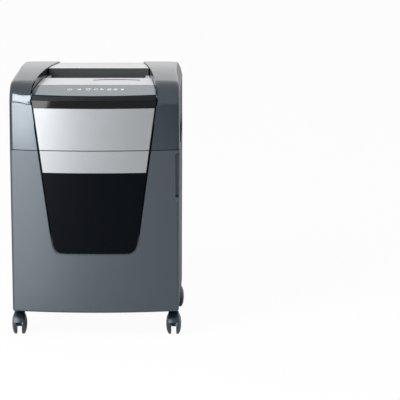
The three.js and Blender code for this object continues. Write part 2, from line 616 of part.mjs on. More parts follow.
function planOffset(line, depth) {
  return line.map(([x, y], i) => {
    const before = line[Math.max(i - 1, 0)];
    const after = line[Math.min(i + 1, line.length - 1)];
    const along = new THREE.Vector2(after[0] - before[0], after[1] - before[1]).normalize();
    const normal = i === 0 ? [0, -1] : i === line.length - 1 ? [1, 0] : [along.y, -along.x];
    return [x - normal[0] * depth, y - normal[1] * depth];
  });
}

const BIN_WALL = 4.2;
function binShell() {
  const rows = [[FRONT_FOOT_Z, 3], [FRONT_FOOT_Z + 1, 1], [FRONT_FOOT_Z + 4, 0],
    ...steps(4).map((t) => [lerp(FRONT_FOOT_Z + 49, SEAM_Z - SEAM_GAP, t), 0])];
  const grid = (depth) =>
    rows.map(([z, inset]) => {
      const half = planOffset(planHalf(z), depth ?? inset);
      return [...half.slice(1).reverse().map(([x, y]) => [-x, y]), ...half].map(([x, y]) => new THREE.Vector3(x, y, z));
    });
  return sheet(grid(null), grid(BIN_WALL));
}

// Outline of the window and strip, with rounded lower corners.
function insertOutline(inset, fromZ, toZ, radius) {
  const foot = fromZ + inset;
  const half = insertHalf(foot) - inset;
  const shape = new THREE.Shape();
  shape.moveTo(-(insertHalf(toZ) - inset), toZ);
  shape.lineTo(-half - INSERT_SLOPE * radius, foot + radius);
  shape.quadraticCurveTo(-half, foot, -half + radius, foot);
  shape.lineTo(half - radius, foot);
  shape.quadraticCurveTo(half, foot, half + INSERT_SLOPE * radius, foot + radius);
  shape.lineTo(insertHalf(toZ) - inset, toZ);
  return shape;
}

const POCKET = 2.8; // depth of the recess that takes window and strip
function binFront() {
  const pocket = bowSheet(WINDOW_FOOT_Z - 5, SEAM_Z + 5, -10, POCKET, insertHalf(SEAM_Z) + 8, 6).intersect(
    prism(insertOutline(0, WINDOW_FOOT_Z, SEAM_Z + 4, INSERT_CORNER), "y", 2 * AHEAD, 0),
  );
  const through = prism(insertOutline(INSERT_GAP + 6, WINDOW_FOOT_Z, STRIP_FOOT_Z - 6, INSERT_CORNER - 4), "y", 2 * AHEAD, 0);
  const half = halfWidth(grip.z);
  const cheek = block([half - 22, half - 3.4], [FRONT_Y + 1.5, FRONT_Y + WING - 1], [grip.z - 60, grip.z + 58]);
  const scoop = roundedRect(FRONT_Y + grip.depth / 2 - 10, grip.z, grip.depth + 20, grip.height, 10);
  const rib = (x) => block([x - 1.5, x + 1.5], [FRONT_Y - 4, tub.frontY - GAP], [FRONT_FOOT_Z + 30, FRONT_FOOT_Z + 120]);
  return joined(binShell().subtract(pocket).subtract(through), cheek, rib(tub.halfWidth - 23), rib(23 - tub.halfWidth))
    .subtract(prism(scoop, "x", half - grip.width, half + 20));
}

function binInsert(fromZ, toZ, radius) {
  const body = bowSheet(fromZ - 2, toZ, INSERT_DEPTH, POCKET - GAP, insertHalf(toZ) + 2, 4);
  const outline = radius > 0
    ? insertOutline(INSERT_GAP, WINDOW_FOOT_Z, toZ, radius)
    : new THREE.Shape(frontOutline(INSERT_GAP, fromZ, toZ).map(([x, z]) => new THREE.Vector2(x, z)));
  return body.intersect(prism(outline, "y", AHEAD, 0));
}

function loft(lower, upper) {
  const ringPoints = (shape, z) => shape.getPoints(3).map((p) => new THREE.Vector3(p.x, p.y, z));
  const [a, b] = [ringPoints(...lower), ringPoints(...upper)];
  const triangles = [];
  const middle = (points) => points.reduce((sum, p) => sum.add(p), new THREE.Vector3()).divideScalar(points.length);
  const [ma, mb] = [middle(a), middle(b)];
  a.forEach((_, i) => {
    const j = (i + 1) % a.length;
    triangles.push(a[i], a[j], b[j], a[i], b[j], b[i], ma, a[j], a[i], mb, b[i], b[j]);
  });
  return solid(new THREE.BufferGeometry().setFromPoints(triangles));
}

function binTub() {
  const { halfWidth: half, frontY: front, rearY: rear, footZ, topZ, wall, draft } = tub;
  const plan = (shrink) =>
    roundedRect(0, (front + rear) / 2, 2 * (half - shrink), rear - front - 2 * shrink, 16);
  const outer = loft([plan(draft), footZ], [plan(0), topZ]);
  const inner = loft([plan(draft + wall), footZ + wall], [plan(wall - 0.02), topZ + 1]);
  const rim = prism(plan(-4), "z", topZ - 3, topZ, 3).subtract(prism(plan(1), "z", topZ - 4, topZ + 1, 3));
  return outer.add(rim.intersect(block([-HALF_WIDTH, HALF_WIDTH], [front, REAR_Y], [0, SEAM_Z]))).subtract(inner);
}

// ---------------------------------------------------------------- cutting head
const FRONT_SHAFT_Y = cutter.y - cutter.spacing / 2;
const REAR_SHAFT_Y = cutter.y + cutter.spacing / 2;

// One disc: a low ramp that rises to each of three hooked teeth.
function discOutline() {
  const points = [];
  for (let tooth = 0; tooth < 3; tooth++) {
    for (const [degrees, radius] of [[0, cutter.tip], [40, cutter.ramp], [80, cutter.heel], [104, cutter.root]]) {
      const angle = ((tooth * 120 + degrees) * Math.PI) / 180;
      points.push([radius * Math.cos(angle), radius * Math.sin(angle)]);
    }
  }
  return points;
}

function drum(shaftY, firstX, count, leftEnd) {
  const end = FRAME_X + FRAME_PLATE + 3;
  const half = FRAME_X - 2;
  let made = rod("x", cutter.spacer, -half, half, [shaftY, cutter.z], 12);
  made = made.add(rod("x", cutter.journal, leftEnd, end, [shaftY, cutter.z], 12));
  const outline = discOutline().map(([y, z]) => [y + shaftY, z + cutter.z]);
  for (let i = 0; i < count; i++) {
    const x = firstX + i * cutter.pitch;
    made = made.add(prism(outline, "x", x - cutter.disc / 2, x + cutter.disc / 2));
  }
  return made;
}

// Involute teeth as straight chords, thinned for running clearance.
function gearOutline(teeth, phase) {
  const pitch = (gear.module * teeth) / 2;
  const base = pitch * Math.cos((gear.angle * Math.PI) / 180);
  const tip = pitch + 0.9 * gear.module;
  const root = pitch - 1.2 * gear.module;
  const involute = (r) => Math.tan(Math.acos(base / r)) - Math.acos(base / r);
  const halfTooth = (r) => Math.PI / (2 * teeth) - gear.backlash / pitch + involute(pitch) - involute(r);
  const foot = Math.max(base + 0.01, root);
  const flank = [[root, halfTooth(foot)], [pitch, halfTooth(pitch)], [tip, halfTooth(tip)]];
  const points = [];
  for (let tooth = 0; tooth < teeth; tooth++) {
    const centre = phase + (tooth * 2 * Math.PI) / teeth;
    for (const [r, a] of flank) points.push([r * Math.cos(centre - a), r * Math.sin(centre - a)]);
    for (const [r, a] of [...flank].reverse()) points.push([r * Math.cos(centre + a), r * Math.sin(centre + a)]);
  }
  return points;
}

function gearWheel(teeth, phase, [y, z], from, bore) {
  const outline = gearOutline(teeth, phase).map(([u, v]) => [u + y, v + z]);
  const wheel = prism(outline, "x", from, from + gear.width);
  return bore ? wheel.subtract(rod("x", bore, from - 5, from + gear.width + 5, [y, z], 12)) : wheel;
}

const SYNC_X = -FRAME_X - FRAME_PLATE - 4 - gear.width;
const DRIVE_X = SYNC_X - 4 - gear.width;
const MOTOR_Y = REAR_SHAFT_Y + (gear.module * (gear.drive + gear.pinion)) / 2;

function motorPinion() {
  // A gap of the pinion faces the drive wheel's tooth on the line between the shafts.
  const phase = Math.PI + Math.PI / gear.pinion;
  const wheel = gearWheel(gear.pinion, phase, [MOTOR_Y, cutter.z], DRIVE_X, 0);
  return wheel.add(rod("x", motor.shaft, DRIVE_X - 3, -FRAME_X + 6, [MOTOR_Y, cutter.z], 12));
}

function cutterFrame(side) {
  const foot = CHASSIS_Z + CHASSIS_PLATE + GAP;
  const top = FEED_FOOT_Z;
  const frontReach = cutter.y - 1.5 * cutter.spacing - 1;
  const rearReach = side < 0 ? MOTOR_Y + motor.radius + 4 : cutter.y + 1.5 * cutter.spacing + 1;
  const outline = [[frontReach, foot], [rearReach, foot], [rearReach, cutter.z + 20], [rearReach - 14, top],
    [frontReach + 10, top]];
  const [from, to] = side < 0 ? [-FRAME_X - FRAME_PLATE, -FRAME_X] : [FRAME_X, FRAME_X + FRAME_PLATE];
  let plate = prism(outline, "x", from, to);
  for (const y of [FRONT_SHAFT_Y, REAR_SHAFT_Y]) plate = plate.subtract(rod("x", BEARING + GAP, from - 1, to + 1, [y, cutter.z]));
  for (const [y, z] of tieRods) plate = plate.subtract(rod("x", TIE_ROD + GAP + 0.1, from - 1, to + 1, [y, z], 12));
  if (side < 0) plate = plate.subtract(rod("x", motor.shaft + 2, from - 1, to + 1, [MOTOR_Y, cutter.z], 12));
  return plate;
}

const BEARING = 12;
const TIE_ROD = 4;
const tieRods = [[cutter.y - 52, CHASSIS_Z + 20], [cutter.y + 52, CHASSIS_Z + 20]];

function bearing(side, shaftY) {
  const [from, to] = side < 0 ? [-FRAME_X - FRAME_PLATE - 1, -FRAME_X + 0.5] : [FRAME_X - 0.5, FRAME_X + FRAME_PLATE + 1];
  return ring("x", cutter.journal + GAP, BEARING, from, to, [shaftY, cutter.z]);
}

// Comb whose fingers reach between the discs and keep strips off the drum.
function stripperComb(side, shaftY, firstX, count) {
  const tipY = shaftY + side * (cutter.spacer + 0.7);
  const barY = shaftY + side * (cutter.tip + 1.5);
  const farY = barY + side * 3;
  const span = (a, b) => [Math.min(a, b), Math.max(a, b)];
  let comb = block([-FRAME_X + GAP, FRAME_X - GAP], span(barY, farY), [cutter.z - 12, cutter.z + 12]);
  const finger = cutter.pitch - cutter.disc - 1.2;
  for (let i = 0; i < count; i++) {
    const x = firstX + i * cutter.pitch;
    comb = comb.add(block([x - finger / 2, x + finger / 2], span(tipY, barY + side), [cutter.z - 5, cutter.z + 5]));
  }
  return comb;
}

function chassisPlate() {
  const wide = HALF_WIDTH - PANEL_INSET - WALL - GAP;
  const narrow = HALF_WIDTH - PANEL_INSET - handle.depth - 5.2; // clear of the handle cups
  const shape = new THREE.Shape();
  const reach = handle.length / 2 + 27;
  const right = [[wide, FRONT_Y + 43], [wide, handle.y - reach], [narrow, handle.y - reach], [narrow, handle.y + reach],
    [wide, handle.y + reach], [wide, REAR_Y - 10.5]];
  const outline = [...right, ...[...right].reverse().map(([x, y]) => [-x, y])];
  shape.setFromPoints(outline.map(([x, y]) => new THREE.Vector2(x, y)));
  const chute = roundedRect(0, cutter.y, 2 * (FRAME_X - 5), 2 * cutter.spacing - 2, 4);
  const plate = prism(shape, "z", CHASSIS_Z, CHASSIS_Z + CHASSIS_PLATE);
  return plate.subtract(prism(chute, "z", CHASSIS_Z - 5, CHASSIS_Z + 10, 2));
}

// ---------------------------------------------------------------- drive and electrics
function motorBody() {
  const from = -FRAME_X + GAP;
  const to = from + motor.length;
  const r = motor.radius;
  const profile = [[0, from], [r - 8, from], [r - 8, from + 6], [r, from + 9], [r, to - 10], [r - 3, to - 4],
    [r - 12, to], [0, to]];
  const bore = rod("x", motor.shaft + 0.6, from - 5, from + 12, [MOTOR_Y, cutter.z], 12);
  return turned(profile, "x", [MOTOR_Y, cutter.z], 20).subtract(bore);
}

function motorBracket() {
  const foot = CHASSIS_Z + CHASSIS_PLATE + GAP;
  const saddle = block([-34, -14], [MOTOR_Y - 18, MOTOR_Y + 27], [foot, cutter.z - 14]);
  return saddle.subtract(rod("x", motor.radius + GAP + 0.1, -60, 20, [MOTOR_Y, cutter.z], 20));
}

function capacitor() {
  const y = REAR_Y - 40.5;
  const z = CHASSIS_Z + CHASSIS_PLATE + GAP + 18;
  const clip = block([-62, -50], [y - 20, y + 20], [CHASSIS_Z + CHASSIS_PLATE + GAP, z]);
  return rod("x", 17, -92, -20, [y, z], 14).add(clip);
}

function powerBoard() {
  const foot = CHASSIS_Z + CHASSIS_PLATE + GAP;
  const [x0, x1, y0, y1] = [46, 150, REAR_Y - 94.5, REAR_Y - 18.5];
  const board = block([x0, x1], [y0, y1], [foot + 8, foot + 9.6]);
  const corners = [[x0 + 4, y0 + 4], [x1 - 4, y0 + 4], [x0 + 4, y1 - 4], [x1 - 4, y1 - 4]];
  const posts = corners.map(([x, y]) => rod("z", 2.5, foot, foot + 8.5, [x, y], 8));
  const transformer = block([x1 - 40, x1 - 8], [y0 + 10, y0 + 42], [foot + 9, foot + 34]);
  const relay = block([x0 + 16, x0 + 36], [y0 + 16, y0 + 32], [foot + 9, foot + 24]);
  return joined(board, ...posts, transformer, relay);
}

function controlBoard() {
  const grid = (depth) =>
    [CONTROL_REAR_Y - 41.5, CONTROL_REAR_Y - 7.5].map((y) => [-80, 80].map((x) => new THREE.Vector3(x, y, controlZ(y) - DECK - GAP - depth)));
  return sheet(grid(0), grid(1.6));
}

function interlockSwitch() {
  const foot = CHASSIS_Z + CHASSIS_PLATE + GAP;
  const x = HALF_WIDTH - 48.7;
  const y = FRONT_Y + 49; // front face, over the chassis plate's front edge
  const body = block([x - 10, x + 10], [y, y + 16], [foot, foot + 16]);
  const lever = prism([[y - 0.5, foot + 4], [y - 5, foot + 12], [y - 4.2, foot + 13], [y + 1, foot + 6]], "x", x - 3, x + 3);
  return body.add(lever);
}

function entrySensor() {
  const slotFront = cutter.y - FEED_SLOT / 2 - DECK;
  return block([-9, 9], [slotFront - 14, slotFront - GAP], [FEED_FOOT_Z, FEED_FOOT_Z + 7]);
}

// ---------------------------------------------------------------- castors
const castorPlaces = [
  { name: "front_left", x: -castor.halfTrack, y: castor.frontY },
  { name: "front_right", x: castor.halfTrack, y: castor.frontY },
  { name: "rear_left", x: -castor.halfTrack, y: castor.rearY },
  { name: "rear_right", x: castor.halfTrack, y: castor.rearY },
];

function castorHousing({ x, y }) {
  const axleY = y - castor.trail;
  const hoodRadius = (u) => castor.hood - 1.5 * (u / castor.hoodHalf) ** 2;
  const grid = (wall) =>
    steps(8).map((s) => {
      const angle = lerp(12, 168, s) * (Math.PI / 180);
      return steps(4).map((t) => {
        const u = lerp(-castor.hoodHalf, castor.hoodHalf, t);
        const r = hoodRadius(u) - wall;
        return new THREE.Vector3(x + u, axleY + r * Math.cos(angle), castor.radius + r * Math.sin(angle));
      });
    });
  const hood = sheet(grid(0), grid(castor.hoodWall));
  const arc = steps(7).map((s) => {
    const angle = lerp(14, 166, s) * (Math.PI / 180);
    const r = castor.hood - 1;
    return [axleY + r * Math.cos(angle), castor.radius + r * Math.sin(angle)];
  });
  const web = prism([...arc, [axleY - 8, castor.radius - 5], [axleY, castor.radius - 8], [axleY + 8, castor.radius - 5]],
    "x", x - castor.gap / 2 + 1, x + castor.gap / 2 - 1);
  const stem = rod("z", castor.stem, castor.radius + 8, SOCKET_Z - WALL - GAP, [x, y], 12);
  const bore = rod("x", castor.axle + GAP + 0.1, x - 20, x + 20, [axleY, castor.radius], 12);
  return joined(hood, web, stem).subtract(bore);
}

// Twin wheels on one axle, with rounded shoulders and domed sides.
function castorWheels({ x, y }) {
  const flat = castor.radius / Math.cos(Math.PI / castor.segments);
  const inner = castor.gap / 2;
  const outer = castor.halfWidth;
  const side = [[castor.axle, inner], [flat, inner], [flat, outer - 6.4], [flat - 3, outer - 4], [flat - 9, outer - 1.5],
    [0, outer]];
  const profile = [...[...side].reverse().map(([r, s]) => [r, s - 2 * s]), ...side];
  const placed = profile.map(([r, s]) => [r, s + x]);
  return turned(placed, "x", [y - castor.trail, castor.radius], castor.segments);
}

// ---------------------------------------------------------------- assembly
for (const [side, hand] of [[-1, "left"], [1, "right"]]) {
  add(`side_panel_${hand}`, sidePanel(side), "blueGrey");
  add(`handle_cup_${hand}`, handleCup(side), "darkGrey");
  add(`bin_rail_${hand}`, binRail(side), "steel");
  add(`cutter_frame_${hand}`, cutterFrame(side), "steel");
  add(`front_bearing_${hand}`, bearing(side, FRONT_SHAFT_Y), "brass");
  add(`rear_bearing_${hand}`, bearing(side, REAR_SHAFT_Y), "brass");
}
add("rear_panel", rearPanel(), "blueGrey");
add("rear_vent_panel", rearVentPanel(), "black");
add("base_tray", baseTray(), "darkGrey");
add("mains_inlet", mainsInlet(), "black");
add("mains_switch", mainsSwitch(), "black");

add("head_shell", headShell(), "blueGrey");
add("upper_front_panel", fascia(SEAM_Z + SEAM_GAP, GLOSS_FOOT_Z), "silver");
add("gloss_band", fascia(GLOSS_FOOT_Z + GAP, SATIN_FOOT_Z), "black");
add("satin_band", satinBand(), "darkGrey");
add("control_panel", controlSheet(CONTROL_REAR_Y, 0, DECK, DECK_GAP), "lightGrey");
add("front_deck_plate", frontDeckPlate(), "silver");
add("rear_deck_plate", rearDeckPlate(), "silver");
add("throat_liner", throatLiner(), "darkGrey");

add("bin_front", binFront(), "blueGrey");
add("bin_strip", binInsert(STRIP_FOOT_Z + GAP, SEAM_Z - SEAM_GAP, 0), "silver");
add("bin_window", binInsert(WINDOW_FOOT_Z, STRIP_FOOT_Z, INSERT_CORNER), "black");
add("bin_tub", binTub(), "darkGrey");

const firstDisc = (-(cutter.discs - 1) * cutter.pitch) / 2;
const SHAFT_END = DRIVE_X - 4;
add("chassis_plate", chassisPlate(), "steel");
add("front_cutter", drum(FRONT_SHAFT_Y, firstDisc, cutter.discs, SYNC_X - 4), "steel");
add("rear_cutter", drum(REAR_SHAFT_Y, firstDisc + cutter.pitch / 2, cutter.discs - 1, SHAFT_END), "steel");
add("front_stripper_comb", stripperComb(-1, FRONT_SHAFT_Y, firstDisc + cutter.pitch / 2, cutter.discs - 1), "steel");
add("rear_stripper_comb", stripperComb(1, REAR_SHAFT_Y, firstDisc, cutter.discs), "steel");
add("front_tie_rod", rod("x", TIE_ROD, -FRAME_X - 8, FRAME_X + 8, tieRods[0], 12), "steel");
add("rear_tie_rod", rod("x", TIE_ROD, -FRAME_X - 8, FRAME_X + 8, tieRods[1], 12), "steel");
const BORE = cutter.journal + GAP + 0.1;
add("front_sync_gear", gearWheel(gear.sync, 0, [FRONT_SHAFT_Y, cutter.z], SYNC_X, BORE), "steel");
add("rear_sync_gear", gearWheel(gear.sync, Math.PI + Math.PI / gear.sync, [REAR_SHAFT_Y, cutter.z], SYNC_X, BORE), "steel");
add("drive_gear", gearWheel(gear.drive, 0, [REAR_SHAFT_Y, cutter.z], DRIVE_X, BORE), "steel");
add("motor_pinion", motorPinion(), "steel");
add("motor", motorBody(), "darkGrey");
add("motor_bracket", motorBracket(), "steel");
add("capacitor", capacitor(), "silver");
add("power_board", powerBoard(), "green");
add("control_board", controlBoard(), "green");
add("interlock_switch", interlockSwitch(), "black");
add("entry_sensor", entrySensor(), "black");

for (const place of castorPlaces) {
  add(`castor_${place.name}_housing`, castorHousing(place), "darkGrey");
  add(`castor_${place.name}_wheels`, castorWheels(place), "darkGrey");
}

export default shredder;
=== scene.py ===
"""Looks, light and camera for the paper shredder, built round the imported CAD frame."""

import math

import bmesh
import bpy
from mathutils import Matrix, Vector

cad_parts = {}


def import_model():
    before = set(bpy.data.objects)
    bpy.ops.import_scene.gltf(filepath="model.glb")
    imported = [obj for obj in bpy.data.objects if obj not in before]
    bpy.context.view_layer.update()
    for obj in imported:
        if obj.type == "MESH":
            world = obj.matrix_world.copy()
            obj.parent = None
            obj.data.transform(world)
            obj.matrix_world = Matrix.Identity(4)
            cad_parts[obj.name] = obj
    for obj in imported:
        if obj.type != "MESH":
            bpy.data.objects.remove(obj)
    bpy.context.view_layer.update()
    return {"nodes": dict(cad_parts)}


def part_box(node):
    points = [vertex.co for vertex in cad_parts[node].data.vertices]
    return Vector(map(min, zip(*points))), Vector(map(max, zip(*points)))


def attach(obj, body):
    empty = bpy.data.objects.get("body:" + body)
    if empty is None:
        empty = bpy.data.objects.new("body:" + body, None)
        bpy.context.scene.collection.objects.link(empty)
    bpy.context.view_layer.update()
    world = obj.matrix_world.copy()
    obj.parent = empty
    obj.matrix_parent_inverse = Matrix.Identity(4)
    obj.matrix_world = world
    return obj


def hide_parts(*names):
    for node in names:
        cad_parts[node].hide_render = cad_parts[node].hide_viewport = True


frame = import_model()
nodes = frame["nodes"]
MM = 0.001


# ---------------------------------------------------------------- node materials
class Tree:
    """A material's node tree with short calls for the nodes used here."""

    def __init__(self, name):
        self.material = bpy.data.materials.new(name)
        self.material.use_nodes = True
        self.nodes = self.material.node_tree.nodes
        self.links = self.material.node_tree.links
        self.bsdf = self.nodes["Principled BSDF"]
        self.place = self.add("ShaderNodeTexCoord").outputs["Object"]

    def add(self, kind, **values):
        node = self.nodes.new(kind)
        for key, value in values.items():
            setattr(node, key, value)
        return node

    def join(self, source, target):
        self.links.new(source, target)

    def noise(self, scale, detail=3.0, roughness=0.5, stretch=None):
        """Socket of a noise texture, stretched along each axis by a factor where one is given."""
        node = self.add("ShaderNodeTexNoise")
        node.inputs["Scale"].default_value = scale
        node.inputs["Detail"].default_value = detail
        node.inputs["Roughness"].default_value = roughness
        source = self.place
        if stretch:
            mapping = self.add("ShaderNodeMapping")
            mapping.inputs["Scale"].default_value = stretch
            self.join(self.place, mapping.inputs["Vector"])
            source = mapping.outputs["Vector"]
        self.join(source, node.inputs["Vector"])
        return node.outputs["Fac"]

    def span(self, source, low, high, from_low=0.3, from_high=0.7):
        """Carry one range of values over to another, clamped; noise is mostly within 0.3 to 0.7."""
        node = self.add("ShaderNodeMapRange")
        node.inputs["From Min"].default_value = from_low
        node.inputs["From Max"].default_value = from_high
        node.inputs["To Min"].default_value = low
        node.inputs["To Max"].default_value = high
        self.join(source, node.inputs["Value"])
        return node.outputs["Result"]

    def mix(self, factor, first, second):
        """Blend two colours, each a socket or three numbers."""
        node = self.add("ShaderNodeMix", data_type="RGBA")
        self.join(factor, node.inputs["Factor"])
        for socket, value in ((node.inputs["A"], first), (node.inputs["B"], second)):
            if isinstance(value, tuple):
                socket.default_value = (*value, 1.0)
            else:
                self.join(value, socket)
        return node.outputs["Result"]

    def bump(self, height, distance):
        node = self.add("ShaderNodeBump")
        node.inputs["Distance"].default_value = distance
        node.inputs["Strength"].default_value = 1.0
        self.join(height, node.inputs["Height"])
        return node.outputs["Normal"]

    def calc(self, operation, first, second=0.0, third=0.0):
        """A math node; each input is a socket or a number."""
        node = self.add("ShaderNodeMath", operation=operation)
        for socket, value in zip(node.inputs, (first, second, third)):
            if isinstance(value, (int, float)):
                socket.default_value = value
            else:
                self.join(value, socket)
        return node.outputs["Value"]

    def axes(self):
        """Sockets of the distance from the middle plane, the depth and the height."""
        node = self.add("ShaderNodeSeparateXYZ")
        self.join(self.place, node.inputs["Vector"])
        return self.calc("ABSOLUTE", node.outputs["X"]), node.outputs["Y"], node.outputs["Z"]

    def recolour(self, mask, colour):
        """Lay a second colour over the base colour where the mask is 1."""
        base = self.bsdf.inputs["Base Color"]
        self.join(self.mix(mask, base.links[0].from_socket, colour), base)

    def set(self, **values):
        """Set the shader's own sockets; an underscore stands for a space in the name."""
        for key, value in values.items():
            self.bsdf.inputs[key.replace("_", " ")].default_value = value


def shade(colour, factor):
    return tuple(channel * factor for channel in colour)


# Noise scales are in cells per metre and bump depths in metres.
DRIFT_SCALE, GLOSS_SCALE, CLOUD_SCALE = 7.0, 38.0, 26.0
GLOSS_SPREAD = (0.92, 1.08)
METAL_TONE, METAL_ROUGH = (0.82, 1.12), (0.75, 1.3)
COAT_ROUGH = 0.05


def plastic(name, colour, rough, grain=1800.0, depth=0.00002, drift=0.06, spec=0.5, coat=0.0,
            metal=0.0, sheen=(1.0, 1.0, 1.0, 1.0)):
    """Moulded or lacquered plastic: slow colour drift, fine grain, uneven sheen."""
    tree = Tree(name)
    slow = tree.noise(DRIFT_SCALE, 2.0)
    tone = tree.mix(slow, shade(colour, 1 - drift), shade(colour, 1 + drift))
    tree.join(tone, tree.bsdf.inputs["Base Color"])
    low, high = GLOSS_SPREAD
    uneven = tree.noise(GLOSS_SCALE, 4.0, 0.6)
    tree.join(tree.span(uneven, rough * low, rough * high), tree.bsdf.inputs["Roughness"])
    tree.join(tree.bump(tree.noise(grain, 2.0), depth), tree.bsdf.inputs["Normal"])
    tree.set(Metallic=metal, Specular_IOR_Level=spec, Coat_Weight=coat,
             Coat_Roughness=COAT_ROUGH, Specular_Tint=sheen)
    return tree


def metal(name, colour, rough, stretch, scale=900.0, depth=0.000015):
    """Bare metal with drawn or ground lines."""
    tree = Tree(name)
    lines = tree.noise(scale, 3.0, 0.6, stretch)
    cloud = tree.noise(CLOUD_SCALE, 3.0)
    tone = tree.mix(cloud, *(shade(colour, factor) for factor in METAL_TONE))
    tree.join(tone, tree.bsdf.inputs["Base Color"])
    low, high = METAL_ROUGH
    tree.join(tree.span(lines, rough * low, rough * high), tree.bsdf.inputs["Roughness"])
    tree.join(tree.bump(lines, depth), tree.bsdf.inputs["Normal"])
    tree.set(Metallic=1.0)
    return tree


BODY, SHEEN = (0.013, 0.018, 0.025), (0.83, 0.92, 1.0, 1.0)
# Painted shade colours: for the deck opening's inner walls, for the gaps at the front opening and
# the silver panels' edges, and for the inside of the handle recesses.
WALL_SHADE, GAP_SHADE, CUP_SHADE = (0.012, 0.018, 0.028), (0.004, 0.005, 0.006), (0.001, 0.002, 0.009)
BOARD_GREEN, BOARD_TRACK, TRACK_SCALE = (0.012, 0.07, 0.035), (0.03, 0.15, 0.06), 190.0
TREAD = (0.024, 0.027, 0.031)
LACQUER = {"grain": 2600.0, "depth": 0.00001, "drift": 0.02}

# Where the painted shade starts and ends, in metres. The front is bowed: its middle stands ahead of
# its corners.
HALF_WIDTH, FRONT_Y, BOW, REAR_WALL_Y = 0.1907, -0.183, 0.0225, 0.197
# The front opening's half-width grows with height, and the head's part of it ends at the split.
SEAM_Z, SPLIT_Z, OPENING_AT_SEAM, OPENING_SLOPE = 0.433, 0.548, 0.1265, 0.1366
OPENING_AT_FLOOR = OPENING_AT_SEAM - SEAM_Z * OPENING_SLOPE
# The gap beside the silver panels, and how wide their edge is painted black as shade.
INSERT_GAP, GAP_SHADE_WIDTH = 0.0022, 0.0015
# How far the opening's painted shade goes past its edge, how far behind the skin it starts, and
# where on the bin it fades in.
EDGE_REACH, EDGE_DEPTH, EDGE_FADE, BIN_OPENING_FOOT = 0.0014, 0.0001, 0.03, 0.213
# The deck opening's half-width at five depths, and how the curve node's square covers them.
DECK_HALF = ((0.1985, 0.099), (0.045, 0.117), (-0.0245, 0.1245), (-0.1085, 0.1333),
             (-0.175, 0.1422))
CURVE_FROM, CURVE_SPAN, CURVE_SCALE = -0.25, 0.5, 0.2
DECK_MARGIN, DECK_DEPTH = 0.0002, 0.006
# Distances from the middle plane over which the painted shade inside the handle recess fades out
# towards the rim.
CUP_RIM = (0.1897, 0.1902)
FRONT_AXLE_Y, REAR_AXLE_Y, WHEEL_RADIUS = -0.1365, 0.1685, 0.025
TREAD_EDGE = (0.0205, 0.0216)


def paint_gap_shade(tree, side, depth, height, foot):
    """Paint shade in black on the front opening's walls and edge, where the gap lies in shadow;
    returns the depth behind the skin and a mask of what lies below the split."""
    share = tree.calc("DIVIDE", side, HALF_WIDTH)
    skin = tree.calc("MULTIPLY_ADD", tree.calc("MULTIPLY", share, share), BOW, FRONT_Y - BOW)
    inside = tree.calc("SUBTRACT", depth, skin)
    reach = tree.calc("MULTIPLY_ADD", height, OPENING_SLOPE, OPENING_AT_FLOOR + EDGE_REACH)
    behind = tree.calc("GREATER_THAN", inside, EDGE_DEPTH)
    within = tree.calc("MULTIPLY", behind, tree.calc("LESS_THAN", side, reach))
    low = tree.calc("LESS_THAN", height, SPLIT_Z)
    above = tree.span(height, 0.0, 1.0, foot, foot + EDGE_FADE)
    front = tree.calc("MULTIPLY", within, tree.calc("MULTIPLY", low, above))
    # Painted shade in the gap: black, and made metal so that it takes no highlight either.
    tree.recolour(front, GAP_SHADE)
    tree.join(front, tree.bsdf.inputs["Metallic"])
    return inside, low


def bin_material():
    """The body's paint, with painted shade in black on the walls of the front opening."""
    tree = plastic("bin_finish_and_gap_shade", BODY, 0.37, spec=1.0, sheen=SHEEN)
    paint_gap_shade(tree, *tree.axes(), BIN_OPENING_FOOT)
    return tree.material


def deck_half(tree, depth):
    """Socket of the deck opening's half-width at a depth."""
    curve = tree.add("ShaderNodeFloatCurve")
    knots = curve.mapping.curves[0].points
    places = [((y - CURVE_FROM) / CURVE_SPAN, half / CURVE_SCALE)
              for y, half in reversed(DECK_HALF)]
    knots[0].location = (0.0, places[0][1])
    knots[1].location = (1.0, places[-1][1])
    for place in places:
        knots.new(*place)
    for knot in knots:
        knot.handle_type = "VECTOR"
    curve.mapping.update()
    along = tree.calc("DIVIDE", tree.calc("SUBTRACT", depth, CURVE_FROM), CURVE_SPAN)
    tree.join(along, curve.inputs["Value"])
    return tree.calc("MULTIPLY_ADD", curve.outputs["Value"], CURVE_SCALE, DECK_MARGIN)


def head_material():
    """Gloss paint outside, with painted shade on the walls inside the front and deck openings."""
    tree = plastic("head_finish_and_wall_shade", BODY, 0.15, grain=2400.0, depth=0.000006, spec=0.78, sheen=SHEEN)
    side, depth, height = tree.axes()
    inside, low = paint_gap_shade(tree, side, depth, height, 0.0)
    within = tree.calc("LESS_THAN", side, deck_half(tree, depth))
    inner = tree.calc("MULTIPLY", within, tree.calc("LESS_THAN", depth, REAR_WALL_Y))
    inner = tree.calc("MULTIPLY", inner, tree.calc("GREATER_THAN", inside, DECK_DEPTH))
    deck = tree.calc("MULTIPLY", inner, tree.calc("SUBTRACT", 1.0, low))
    # Painted shade on the deck opening's inner walls.
    tree.recolour(deck, WALL_SHADE)
    return tree.material


def silver_material():
    """Silver lacquer with painted shade in black along its edges beside the openings' walls."""
    tree = plastic("silver_finish_and_edge_shade", (0.275, 0.285, 0.298), 0.37, metal=0.6, **LACQUER)
    side, _, height = tree.axes()
    start = OPENING_AT_FLOOR - INSERT_GAP - GAP_SHADE_WIDTH
    edge = tree.calc("MULTIPLY_ADD", height, OPENING_SLOPE, start)
    # Painted shade in black along the panel's outer edge.
    tree.recolour(tree.calc("GREATER_THAN", side, edge), GAP_SHADE)
    return tree.material


def handle_cup_material():
    """Body grey on the rim, with painted shade inside the recess."""
    tree = plastic("handle_cup_finish_and_recess_shade", (0.045, 0.052, 0.062), 0.5, spec=0.12)
    side = tree.axes()[0]
    # Painted shade inside the recess, fading out at the rim.
    tree.recolour(tree.span(side, 1.0, 0.0, *CUP_RIM), CUP_SHADE)
    return tree.material


